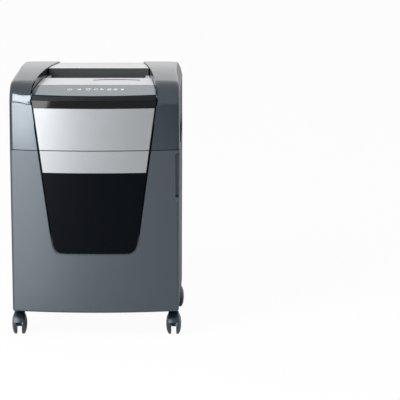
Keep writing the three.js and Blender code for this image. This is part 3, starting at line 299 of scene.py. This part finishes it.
def board_material():
    """Green solder mask with paler tracks."""
    tree = plastic("circuit_board_finish", BOARD_GREEN, 0.35, grain=600.0)
    cells = tree.add("ShaderNodeTexVoronoi", feature="DISTANCE_TO_EDGE")
    cells.inputs["Scale"].default_value = TRACK_SCALE
    tree.join(tree.place, cells.inputs["Vector"])
    tracks = tree.span(cells.outputs["Distance"], 1.0, 0.0, 0.02, 0.05)
    tree.join(tree.mix(tracks, BOARD_GREEN, BOARD_TRACK), tree.bsdf.inputs["Base Color"])
    return tree.material


def wheel_material():
    """Dark tread round paler, domed discs."""
    tree = plastic("castor_wheel_finish", (0.055, 0.066, 0.078), 0.26, grain=700.0, depth=0.00001)
    _, depth, height = tree.axes()
    front = tree.calc("LESS_THAN", depth, 0.0)
    axle = tree.calc("MULTIPLY_ADD", front, FRONT_AXLE_Y - REAR_AXLE_Y, REAR_AXLE_Y)
    along = tree.calc("SUBTRACT", depth, axle)
    above = tree.calc("SUBTRACT", height, WHEEL_RADIUS)
    square = tree.calc("MULTIPLY_ADD", along, along, tree.calc("MULTIPLY", above, above))
    tree.recolour(tree.span(tree.calc("SQRT", square), 0.0, 1.0, *TREAD_EDGE), TREAD)
    return tree.material


def glow_material():
    """White print with a faint light behind it."""
    tree = plastic("lit_print_finish", (0.74, 0.79, 0.85), 0.4, grain=1500.0, depth=0.000004,
                   drift=0.04)
    tree.set(Emission_Color=(0.8, 0.9, 1.0, 1.0), Emission_Strength=0.12)
    return tree.material


def moulded(*values, **more):
    return plastic(*values, **more).material


def bare(*values, **more):
    return metal(*values, **more).material


finish = {
    "body": moulded("body_finish", BODY, 0.37, spec=1.0, sheen=SHEEN),
    "bin": bin_material(),
    "side": moulded("side_finish", BODY, 0.45, spec=1.0, sheen=SHEEN),
    "head": head_material(),
    "control": moulded("control_panel_finish", (0.024, 0.052, 0.086), 0.2, coat=0.6),
    "silver": silver_material(),
    "deck": moulded("deck_finish", (0.77, 0.775, 0.8), 0.48, metal=0.04, **LACQUER),
    "rear_deck": moulded("rear_deck_finish", (0.88, 0.885, 0.91), 0.48, metal=0.04, **LACQUER),
    "gloss": moulded("gloss_black_finish", (0.004, 0.0045, 0.005), 0.08,
                     grain=300.0, depth=0.000004, spec=0.22),
    "window": moulded("window_finish", (0.0003, 0.001, 0.0026), 0.28,
                      grain=300.0, depth=0.000003, spec=0.055),
    "satin": moulded("satin_black_finish", (0.008, 0.01, 0.011), 0.38, spec=0.1),
    "throat": moulded("throat_finish", (0.045, 0.049, 0.052), 0.5, spec=0.25),
    "dark": moulded("dark_plastic_finish", (0.02, 0.023, 0.027), 0.5, grain=900.0, depth=0.00004),
    "vent": moulded("vent_black_finish", (0.009, 0.01, 0.012), 0.5, grain=900.0, depth=0.00004),
    "castor": moulded("castor_finish", (0.008, 0.018, 0.026), 0.34, spec=0.4),
    "wheel": wheel_material(),
    "glow": glow_material(),
    # Near black: the disc slot's lips, painted shade for the dark inside of the slot.
    "lip": moulded("rubber_lip_finish", (0.012, 0.012, 0.013), 0.6,
                   grain=1400.0, depth=0.00003, spec=0.2),
    "screw": bare("plated_screw_finish", (0.5, 0.5, 0.51), 0.3, (1.0, 1.0, 1.0), scale=1400.0),
    "steel": bare("sheet_steel_finish", (0.52, 0.53, 0.54), 0.34, (1.0, 14.0, 1.0)),
    "cutter": bare("cutter_steel_finish", (0.34, 0.34, 0.35), 0.3, (12.0, 1.0, 1.0)),
    "brass": bare("bearing_finish", (0.62, 0.45, 0.18), 0.3, (1.0, 9.0, 9.0)),
    "enamel": moulded("motor_enamel_finish", (0.015, 0.016, 0.018), 0.4,
                      grain=500.0, depth=0.00005),
    "can": bare("capacitor_finish", (0.68, 0.69, 0.7), 0.28, (1.0, 20.0, 20.0)),
    "board": board_material(),
    "cup": handle_cup_material(),
}

# The finish of each node, by the longest of these that its name starts with.
DRESS = {
    "side_panel": "side", "rear_panel": "body", "head_shell": "head", "bin_front": "bin",
    "control_panel": "control", "front_deck_plate": "deck", "rear_deck_plate": "rear_deck",
    "upper_front_panel": "silver", "bin_strip": "silver", "gloss_band": "gloss",
    "bin_window": "window", "satin_band": "satin", "throat_liner": "throat",
    "handle_cup": "cup", "base_tray": "dark", "bin_tub": "dark", "rear_vent_panel": "vent",
    "mains_inlet": "vent", "mains_switch": "vent", "interlock_switch": "vent",
    "entry_sensor": "vent", "bin_rail": "steel", "cutter_frame": "steel",
    "chassis_plate": "steel", "motor_bracket": "steel", "front_bearing": "brass",
    "rear_bearing": "brass", "front_cutter": "cutter", "rear_cutter": "cutter",
    "front_stripper": "steel", "rear_stripper": "steel", "front_tie": "steel",
    "rear_tie": "steel", "front_sync": "cutter", "rear_sync": "cutter",
    "drive_gear": "cutter", "motor_pinion": "cutter", "motor": "enamel", "capacitor": "can",
    "power_board": "board", "control_board": "board",
}
# Rounding of the edges in millimetres, by finish.
EDGE = {
    "body": 1.1, "bin": 1.1, "head": 1.3, "silver": 0.35, "deck": 0.5, "rear_deck": 0.5,
    "gloss": 0.4, "satin": 0.4, "window": 0.5, "cup": 0.5, "vent": 0.5, "dark": 0.6,
    "castor": 0.5, "wheel": 0.5, "control": 0.4,
}
CREASE = math.radians(32)
WELD_WITHIN, BEVEL_STEPS, AREA_WEIGHT = 0.00001, 2, 50


def crease_group():
    """Smooth shading that stops at edges sharper than the crease angle."""
    group = bpy.data.node_groups.new("smooth_to_crease", "GeometryNodeTree")
    group.interface.new_socket("Geometry", in_out="INPUT", socket_type="NodeSocketGeometry")
    group.interface.new_socket("Geometry", in_out="OUTPUT", socket_type="NodeSocketGeometry")
    source = group.nodes.new("NodeGroupInput")
    target = group.nodes.new("NodeGroupOutput")
    faces = group.nodes.new("GeometryNodeSetShadeSmooth")
    edges = group.nodes.new("GeometryNodeSetShadeSmooth")
    edges.domain = "EDGE"
    turn = group.nodes.new("GeometryNodeInputMeshEdgeAngle")
    below = group.nodes.new("FunctionNodeCompare")
    below.operation = "LESS_EQUAL"
    below.inputs["B"].default_value = CREASE
    group.links.new(source.outputs["Geometry"], faces.inputs["Geometry"])
    group.links.new(turn.outputs["Unsigned Angle"], below.inputs["A"])
    group.links.new(below.outputs["Result"], edges.inputs["Shade Smooth"])
    group.links.new(faces.outputs["Geometry"], edges.inputs["Geometry"])
    group.links.new(edges.outputs["Geometry"], target.inputs["Geometry"])
    return group


creased = crease_group()


def add_smooth(obj):
    smooth = obj.modifiers.new("smooth", "NODES")
    smooth.node_group = creased


def add_bevel(obj, width):
    """Round the sharp edges by a width in millimetres."""
    bevel = obj.modifiers.new("edge", "BEVEL")
    bevel.width = width * MM
    bevel.segments = BEVEL_STEPS
    bevel.limit_method = "ANGLE"
    return bevel


def finish_of(name):
    if name.startswith("castor"):
        return "castor" if name.endswith("housing") else "wheel"
    return DRESS[max((key for key in DRESS if name.startswith(key)), key=len)]


def dress(name, obj):
    """Give a CAD object its finish, smooth shading and softened edges."""
    kind = finish_of(name)
    obj.data.materials.clear()
    obj.data.materials.append(finish[kind])
    weld = obj.modifiers.new("weld", "WELD")
    weld.merge_threshold = WELD_WITHIN
    add_smooth(obj)
    if kind in EDGE:
        bevel = add_bevel(obj, EDGE[kind])
        bevel.angle_limit = CREASE
        bevel.harden_normals = True
    even = obj.modifiers.new("even", "WEIGHTED_NORMAL")
    even.keep_sharp = True
    even.weight = AREA_WEIGHT


for node_name, node_object in nodes.items():
    dress(node_name, node_object)


# ---------------------------------------------------------------- small pieces
FULL_TURN = (0.0, 1.0)


def add_band(mesh, near, far, sink, closed=False):
    """A strip between two lines of points, as thick as the sink vector."""
    sunk = Vector(sink)
    rows = [[mesh.verts.new(point + shift) for point in line]
            for line in (near, far) for shift in (Vector(), sunk)]
    ring = [rows[0], rows[2], rows[3], rows[1]]
    count = len(near)
    for i in range(count if closed else count - 1):
        j = (i + 1) % count
        for one, other in zip(ring, ring[1:] + ring[:1]):
            mesh.faces.new((one[i], one[j], other[j], other[i]))
    if not closed:
        for end in (0, -1):
            mesh.faces.new([line[end] for line in ring])


def add_plate(mesh, outline, sink):
    """A flat plate with the given outline."""
    sunk = Vector(sink)
    top = [mesh.verts.new(point) for point in outline]
    low = [mesh.verts.new(point + sunk) for point in outline]
    mesh.faces.new(top)
    mesh.faces.new(low[::-1])
    for i in range(len(top)):
        j = (i + 1) % len(top)
        mesh.faces.new((top[i], low[i], low[j], top[j]))


def add_sides(mesh, rings):
    """Four-sided faces between each closed ring of vertices and the next."""
    for low, high in zip(rings, rings[1:]):
        for i in range(len(low)):
            j = (i + 1) % len(low)
            mesh.faces.new((low[i], low[j], high[j], high[i]))


def piece(name, mesh, kind, body, edge=0.1):
    """An object of the mesh that rides on a body; smooth where it has no rounded edge."""
    bmesh.ops.recalc_face_normals(mesh, faces=mesh.faces)
    data = bpy.data.meshes.new(name)
    mesh.to_mesh(data)
    mesh.free()
    data.materials.append(finish[kind])
    obj = bpy.data.objects.new(name, data)
    bpy.context.scene.collection.objects.link(obj)
    if edge:
        add_bevel(obj, edge)
    else:
        add_smooth(obj)
    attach(obj, body)
    return obj


class Spot:
    """A place on a surface, with its own across, up and outward directions, in millimetres."""

    def __init__(self, centre, across, up):
        self.centre = Vector(centre) * MM
        self.across = Vector(across).normalized()
        self.up = Vector(up).normalized()
        self.out = self.across.cross(self.up)

    def at(self, u, v, w=0.0):
        return self.centre + (self.across * u + self.up * v + self.out * w) * MM

    def circle(self, radius, count, w=0.0, turn=FULL_TURN):
        """Points round the place, from one share of a turn to another."""
        start, end = (math.tau * t for t in turn)
        steps = count if turn == FULL_TURN else count + 1
        angles = [start + (end - start) * i / count for i in range(steps)]
        return [self.at(radius * math.sin(a), radius * math.cos(a), w) for a in angles]

    def sink(self, depth):
        return self.out * (-depth * MM)


# Touch icons on the sloping panel, in millimetres. They are drawn wide and deep, because the
# panel is seen at a flat angle.
ICON_X = (-56.3, -35.5, -14.9, 2.9, 17.2, 32.8, 47.2, 62.3)
ICON_Y, ICON_LIFT, ICON_DEPTH, STROKE = -147.0, 0.16, 0.5, 1.1
ICON_WIDE, ICON_DEEP, ICON_STEPS, ICON_EDGE = 1.3, 1.7, 24, 0.08
PANEL_REAR_Y, PANEL_REAR_Z, PANEL_SLOPE = -108.5, 570.0, 0.136


def touch_icon(number, x):
    """One lit symbol of the touch panel: rings, arrows, bars and a dot, with no lettering."""
    height = PANEL_REAR_Z + (ICON_Y - PANEL_REAR_Y) * PANEL_SLOPE
    spot = Spot((x, ICON_Y, height), (1, 0, 0), (0, 1, PANEL_SLOPE))
    spot.across, spot.up = spot.across * ICON_WIDE, spot.up * ICON_DEEP
    mesh = bmesh.new()
    sink = spot.sink(ICON_DEPTH)

    def ring(radius, turn=FULL_TURN):
        rims = (radius, radius - STROKE)
        lines = [spot.circle(r, ICON_STEPS, ICON_LIFT, turn) for r in rims]
        add_band(mesh, *lines, sink, closed=turn == FULL_TURN)

    def plate(*corners):
        add_plate(mesh, [spot.at(u, v, ICON_LIFT) for u, v in corners], sink)

    def bar(u, v, width, height):
        plate((u - width / 2, v - height / 2), (u + width / 2, v - height / 2),
              (u + width / 2, v + height / 2), (u - width / 2, v + height / 2))

    if number == 1:
        ring(4.2, (0.11, 0.89))
        bar(0, 2.4, STROKE, 4.4)
    elif number == 2:
        plate((-3.8, 0), (3.2, -3.8), (3.2, 3.8))
    elif number == 3:
        bar(0, -3.2, 6.6, STROKE)
        bar(-2.8, 0.4, STROKE, 5.6)
        bar(2.8, 0.4, STROKE, 5.6)
        bar(0, 3.8, 8.2, STROKE)
    elif number == 4:
        ring(3.6)
    elif number == 5:
        plate((-3.4, -3.6), (-3.4, 3.6), (3.8, 0))
    elif number == 6:
        for v in (-2.8, 0, 2.8):
            bar(0, v, 6.8, 1.3)
    elif number == 7:
        ring(3.8)
        add_plate(mesh, spot.circle(1.4, 16, ICON_LIFT), sink)
    else:
        add_plate(mesh, spot.circle(2.9, ICON_STEPS, ICON_LIFT), sink)
    piece(f"touch_icon_{number}", mesh, "glow", "cabinet", ICON_EDGE)


for icon_number, icon_x in enumerate(ICON_X, 1):
    touch_icon(icon_number, icon_x)

# The disc slot is an arc in the sloping deck plate; its near-black lips stand for the shade inside
# it, and each lip reaches past its border.
SLOT_X, SLOT_HALF, SLOT_REAR_Y, SLOT_RADIUS, SLOT_WIDTH = 45.5, 53.5, -44.0, 208.0, 2.6
DECK_SLOPE, LIP_RISE, LIP_DEPTH, SLIT, LIP_BORDER = 4.0 / 84.0, 0.35, 1.0, 0.6, 1.5
LIP_STEPS, LIP_EDGE = 32, 0.2


def slot_lip(name, outer, inner):
    """One of the two near-black lips in the curved disc slot, a piece that stands for the shade
    inside it.
    """
    half = math.asin(SLOT_HALF / SLOT_RADIUS)
    angles = [half * (2 * i / LIP_STEPS - 1) for i in range(LIP_STEPS + 1)]

    def line(radius):
        points = []
        for angle in angles:
            y = SLOT_REAR_Y - SLOT_RADIUS + radius * math.cos(angle)
            z = PANEL_REAR_Z + (y - PANEL_REAR_Y) * DECK_SLOPE + LIP_RISE
            points.append(Vector((SLOT_X + radius * math.sin(angle), y, z)) * MM)
        return points

    mesh = bmesh.new()
    add_band(mesh, line(outer), line(inner), (0, 0, -LIP_DEPTH * MM))
    piece(name, mesh, "lip", "cabinet", LIP_EDGE)


slot_middle = SLOT_RADIUS - SLOT_WIDTH / 2
slot_lip("disc_slot_rear_lip", SLOT_RADIUS + LIP_BORDER, slot_middle + SLIT / 2)
slot_lip("disc_slot_front_lip", slot_middle - SLIT / 2, SLOT_RADIUS - SLOT_WIDTH - LIP_BORDER)

# Screw heads: radius and height of each ring, then the recess's arms, its floor and its taper.
SCREW_X, SCREW_Z, REAR_FACE_Y = (-158, 158), (80, 245, 410), 198.5
SCREW_PROFILE = ((4.0, -0.6), (4.0, 0.25), (3.2, 0.8), (1.9, 1.05))
CROSS_ARM, CROSS_HALF, CROSS_FLOOR, CROSS_TAPER = 1.75, 0.38, 0.45, 0.8
SCREW_STEPS, SCREW_EDGE = 20, 0.12


def rear_screw(number, x, z):
    """A domed screw head with a cross recess, on the rear panel."""
    spot = Spot((x, REAR_FACE_Y, z), (-1, 0, 0), (0, 0, 1))
    mesh = bmesh.new()
    rings = [[mesh.verts.new(p) for p in spot.circle(r, SCREW_STEPS, w)] for r, w in SCREW_PROFILE]
    add_sides(mesh, rings)
    mesh.faces.new(rings[0][::-1])
    corners = ((-CROSS_HALF, CROSS_ARM), (CROSS_HALF, CROSS_ARM), (CROSS_HALF, CROSS_HALF))
    cross = []
    for quarter in range(4):
        a = quarter * math.pi / 2
        for u, v in corners:
            cross.append((u * math.cos(a) + v * math.sin(a), v * math.cos(a) - u * math.sin(a)))
    top = SCREW_PROFILE[-1][1]
    rim = [mesh.verts.new(spot.at(u, v, top)) for u, v in cross]
    foot = [mesh.verts.new(spot.at(u * CROSS_TAPER, v * CROSS_TAPER, CROSS_FLOOR))
            for u, v in cross]
    add_sides(mesh, (rim, foot))
    mesh.faces.new(foot)
    edges = [e for e in mesh.edges if e.is_boundary]
    bmesh.ops.triangle_fill(mesh, edges=edges, use_beauty=True)
    piece(f"rear_screw_{number}", mesh, "screw", "cabinet", SCREW_EDGE)


screw_places = [(x, z) for z in SCREW_Z for x in SCREW_X]
for screw_number, (screw_x, screw_z) in enumerate(screw_places, 1):
    rear_screw(screw_number, screw_x, screw_z)

PIN_PLACES = ((104, 108.6), (118, 108.6), (111, 112.6))
PIN_FLOOR_Y, PIN_LENGTH, PIN_TIP, PIN_TAPER = 180.4, 14.0, 2.5, 0.55
PIN_WIDE, PIN_TALL, PIN_EDGE = 2.0, 4.0, 0.25


def mains_pin(number, x, z):
    """A flat contact in the mains inlet, with a tapered end."""
    spot = Spot((x, PIN_FLOOR_Y, z), (-1, 0, 0), (0, 0, 1))
    mesh = bmesh.new()
    half_u, half_v = PIN_WIDE / 2, PIN_TALL / 2
    corners = ((-half_u, -half_v), (half_u, -half_v), (half_u, half_v), (-half_u, half_v))
    rows = []
    for w, share in ((0, 1), (PIN_LENGTH - PIN_TIP, 1), (PIN_LENGTH, PIN_TAPER)):
        rows.append([mesh.verts.new(spot.at(u * share, v * share, w)) for u, v in corners])
    add_sides(mesh, rows)
    mesh.faces.new(rows[0][::-1])
    mesh.faces.new(rows[-1])
    piece(f"mains_pin_{number}", mesh, "screw", "cabinet", PIN_EDGE)


for pin_number, pin_place in enumerate(PIN_PLACES, 1):
    mains_pin(pin_number, *pin_place)

# The rocker has a ridge across its middle, so each half slopes away from it.
ROCKER_X, ROCKER_Z, ROCKER_MIDDLE_Y, ROCKER_RISE, ROCKER_HALF = 137.0, 110.0, 199.5, 1.5, 9.4
MARK_AT, MARK_LIFT, MARK_DEPTH, MARK_EDGE = 5.2, 0.14, 0.5, 0.06
BAR_HALF_WIDTH, MARK_HALF, RING_INNER, RING_STEPS = 0.45, 2.4, 1.6, 24


def rocker_mark(name, hand):
    """A bar on the upper half of the rocker, where hand is 1, or a ring on the lower half."""
    out = ROCKER_MIDDLE_Y + ROCKER_RISE * MARK_AT / ROCKER_HALF
    centre = (ROCKER_X, out, ROCKER_Z + hand * MARK_AT)
    spot = Spot(centre, (-1, 0, 0), (0, hand * ROCKER_RISE, ROCKER_HALF))
    mesh = bmesh.new()
    sink = spot.sink(MARK_DEPTH)
    if hand > 0:
        corners = ((-BAR_HALF_WIDTH, -MARK_HALF), (BAR_HALF_WIDTH, -MARK_HALF),
                   (BAR_HALF_WIDTH, MARK_HALF), (-BAR_HALF_WIDTH, MARK_HALF))
        add_plate(mesh, [spot.at(u, v, MARK_LIFT) for u, v in corners], sink)
    else:
        rims = [spot.circle(r, RING_STEPS, MARK_LIFT) for r in (MARK_HALF, RING_INNER)]
        add_band(mesh, *rims, sink, closed=True)
    piece(name, mesh, "glow", "mains_rocker", MARK_EDGE)


rocker_mark("rocker_bar", 1)
rocker_mark("rocker_ring", -1)

# Half of a twin wheel from the axle outwards: radius and distance from the middle.
WHEEL_HALF = (
    (2.9, 6.0), (23.9, 6.0), (24.6, 6.25), (25.0, 6.9), (25.0, 10.4), (24.6, 10.95),
    (23.4, 11.95), (22.0, 12.95), (19.2, 14.2), (16.0, 15.45), (11.5, 16.3), (7.0, 16.8),
    (4.6, 16.95), (4.2, 16.6),
)
WHEEL_STEPS = 56


def twin_wheels(place):
    """Two round wheels with domed sides on one axle, in place of the faceted solid."""
    node = f"castor_{place}_wheels"
    low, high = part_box(node)
    middle = (Vector(low) + Vector(high)) / 2
    mesh = bmesh.new()
    rings = []
    for radius, across in [(r, -x) for r, x in reversed(WHEEL_HALF)] + list(WHEEL_HALF):
        ring = []
        for i in range(WHEEL_STEPS):
            angle = math.tau * (i + 0.5) / WHEEL_STEPS
            offset = Vector((across, radius * math.cos(angle), radius * math.sin(angle))) * MM
            ring.append(mesh.verts.new(middle + offset))
        rings.append(ring)
    add_sides(mesh, rings)
    mesh.faces.new(rings[0][::-1])
    mesh.faces.new(rings[-1])
    name, body = f"castor_{place}_wheel_pair", f"castor_{place}_wheelset"
    obj = piece(name, mesh, "wheel", body, edge=0)
    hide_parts(node)


for wheel_place in ("front_left", "front_right", "rear_left", "rear_right"):
    twin_wheels(wheel_place)


# ---------------------------------------------------------------- floor, light and camera
FLOOR_HALF, FLOOR_GREY, FLOOR_ROUGH = 30.0, 0.9, 0.9
FLOOR_WHITE = 0.96  # how much of the floor is plain white to the camera; the rest shows shadow
AMBIENT = 0.38
AIM = (0.0, 0.0, 0.35)
# Each lamp's name, place, size and power.
LAMPS = (
    ("left_low", (-1.7, -2.71, 0.38), (1.5, 0.74), 39),
    ("left_high", (-1.45, -2.33, 2.0), (1.2, 2.0), 102),
)
AZIMUTH, PITCH = math.radians(2.726), math.radians(9.966)
PAN, ROLL = math.radians(1.812), math.radians(0.412)
DISTANCE, HEIGHT = 7.3, 1.5687
FOCAL_MM, SENSOR_MM, CLIP_END = 288.3, 36.0, 100.0


def floor():
    """A pale floor that the camera sees as white, with the object's shadow on it."""
    mesh = bpy.data.meshes.new("floor")
    half = FLOOR_HALF
    corners = [(-half, -half, 0), (half, -half, 0), (half, half, 0), (-half, half, 0)]
    mesh.from_pydata(corners, [], [(0, 1, 2, 3)])
    obj = bpy.data.objects.new("floor", mesh)
    bpy.context.scene.collection.objects.link(obj)
    tree = Tree("floor_finish")
    tree.set(Base_Color=(FLOOR_GREY, FLOOR_GREY, FLOOR_GREY, 1), Roughness=FLOOR_ROUGH)
    path = tree.add("ShaderNodeLightPath")
    glow = tree.add("ShaderNodeEmission")
    glow.inputs["Strength"].default_value = 1.0
    blend = tree.add("ShaderNodeMixShader")
    share = tree.calc("MULTIPLY", path.outputs["Is Camera Ray"], FLOOR_WHITE)
    tree.join(share, blend.inputs["Fac"])
    tree.join(tree.bsdf.outputs["BSDF"], blend.inputs[1])
    tree.join(glow.outputs["Emission"], blend.inputs[2])
    tree.join(blend.outputs["Shader"], tree.nodes["Material Output"].inputs["Surface"])
    mesh.materials.append(tree.material)


def world():
    """White to the camera and in reflections, and soft ambient light on the object."""
    made = bpy.data.worlds.new("studio")
    made.use_nodes = True
    tree = made.node_tree
    path = tree.nodes.new("ShaderNodeLightPath")
    background = tree.nodes["Background"]
    background.inputs["Color"].default_value = (1, 1, 1, 1)
    seen = path.outputs["Is Camera Ray"]
    for ray in ("Is Glossy Ray", "Is Transmission Ray"):
        either = tree.nodes.new("ShaderNodeMath")
        either.operation = "MAXIMUM"
        tree.links.new(seen, either.inputs[0])
        tree.links.new(path.outputs[ray], either.inputs[1])
        seen = either.outputs["Value"]
    level = tree.nodes.new("ShaderNodeMapRange")
    level.inputs["To Min"].default_value = AMBIENT
    level.inputs["To Max"].default_value = 1.0
    tree.links.new(seen, level.inputs["Value"])
    tree.links.new(level.outputs["Result"], background.inputs["Strength"])
    bpy.context.scene.world = made


def lamp(name, position, size, power):
    """A rectangular area lamp that points at the object."""
    data = bpy.data.lights.new(name, "AREA")
    data.shape = "RECTANGLE"
    data.size, data.size_y = size
    data.energy = power
    obj = bpy.data.objects.new(name, data)
    bpy.context.scene.collection.objects.link(obj)
    obj.location = position
    towards = Vector(AIM) - Vector(position)
    obj.rotation_euler = towards.to_track_quat("-Z", "Y").to_euler()


def camera():
    """A long lens in front, turned by its azimuth and pitch, then rolled and panned."""
    data = bpy.data.cameras.new("camera")
    data.lens = FOCAL_MM
    data.sensor_width = SENSOR_MM
    data.clip_end = CLIP_END
    obj = bpy.data.objects.new("camera", data)
    bpy.context.scene.collection.objects.link(obj)
    sine, cosine = math.sin(AZIMUTH), math.cos(AZIMUTH)
    ahead = Vector((-sine * math.cos(PITCH), cosine * math.cos(PITCH), -math.sin(PITCH)))
    level = Vector((cosine, sine, 0.0))
    upright = level.cross(ahead)
    right = level * math.cos(ROLL) - upright * math.sin(ROLL)
    up = upright * math.cos(ROLL) + level * math.sin(ROLL)
    turned = ahead * math.cos(PAN) + right * math.sin(PAN)
    across = right * math.cos(PAN) - ahead * math.sin(PAN)
    place = Vector((DISTANCE * sine, -DISTANCE * cosine, HEIGHT))
    axes = Matrix((across, up, -turned)).transposed().to_4x4()
    obj.matrix_world = Matrix.Translation(place) @ axes
    bpy.context.scene.camera = obj


floor()
world()
for lamp_values in LAMPS:
    lamp(*lamp_values)
camera()
bpy.context.scene.view_settings.view_transform = "Standard"
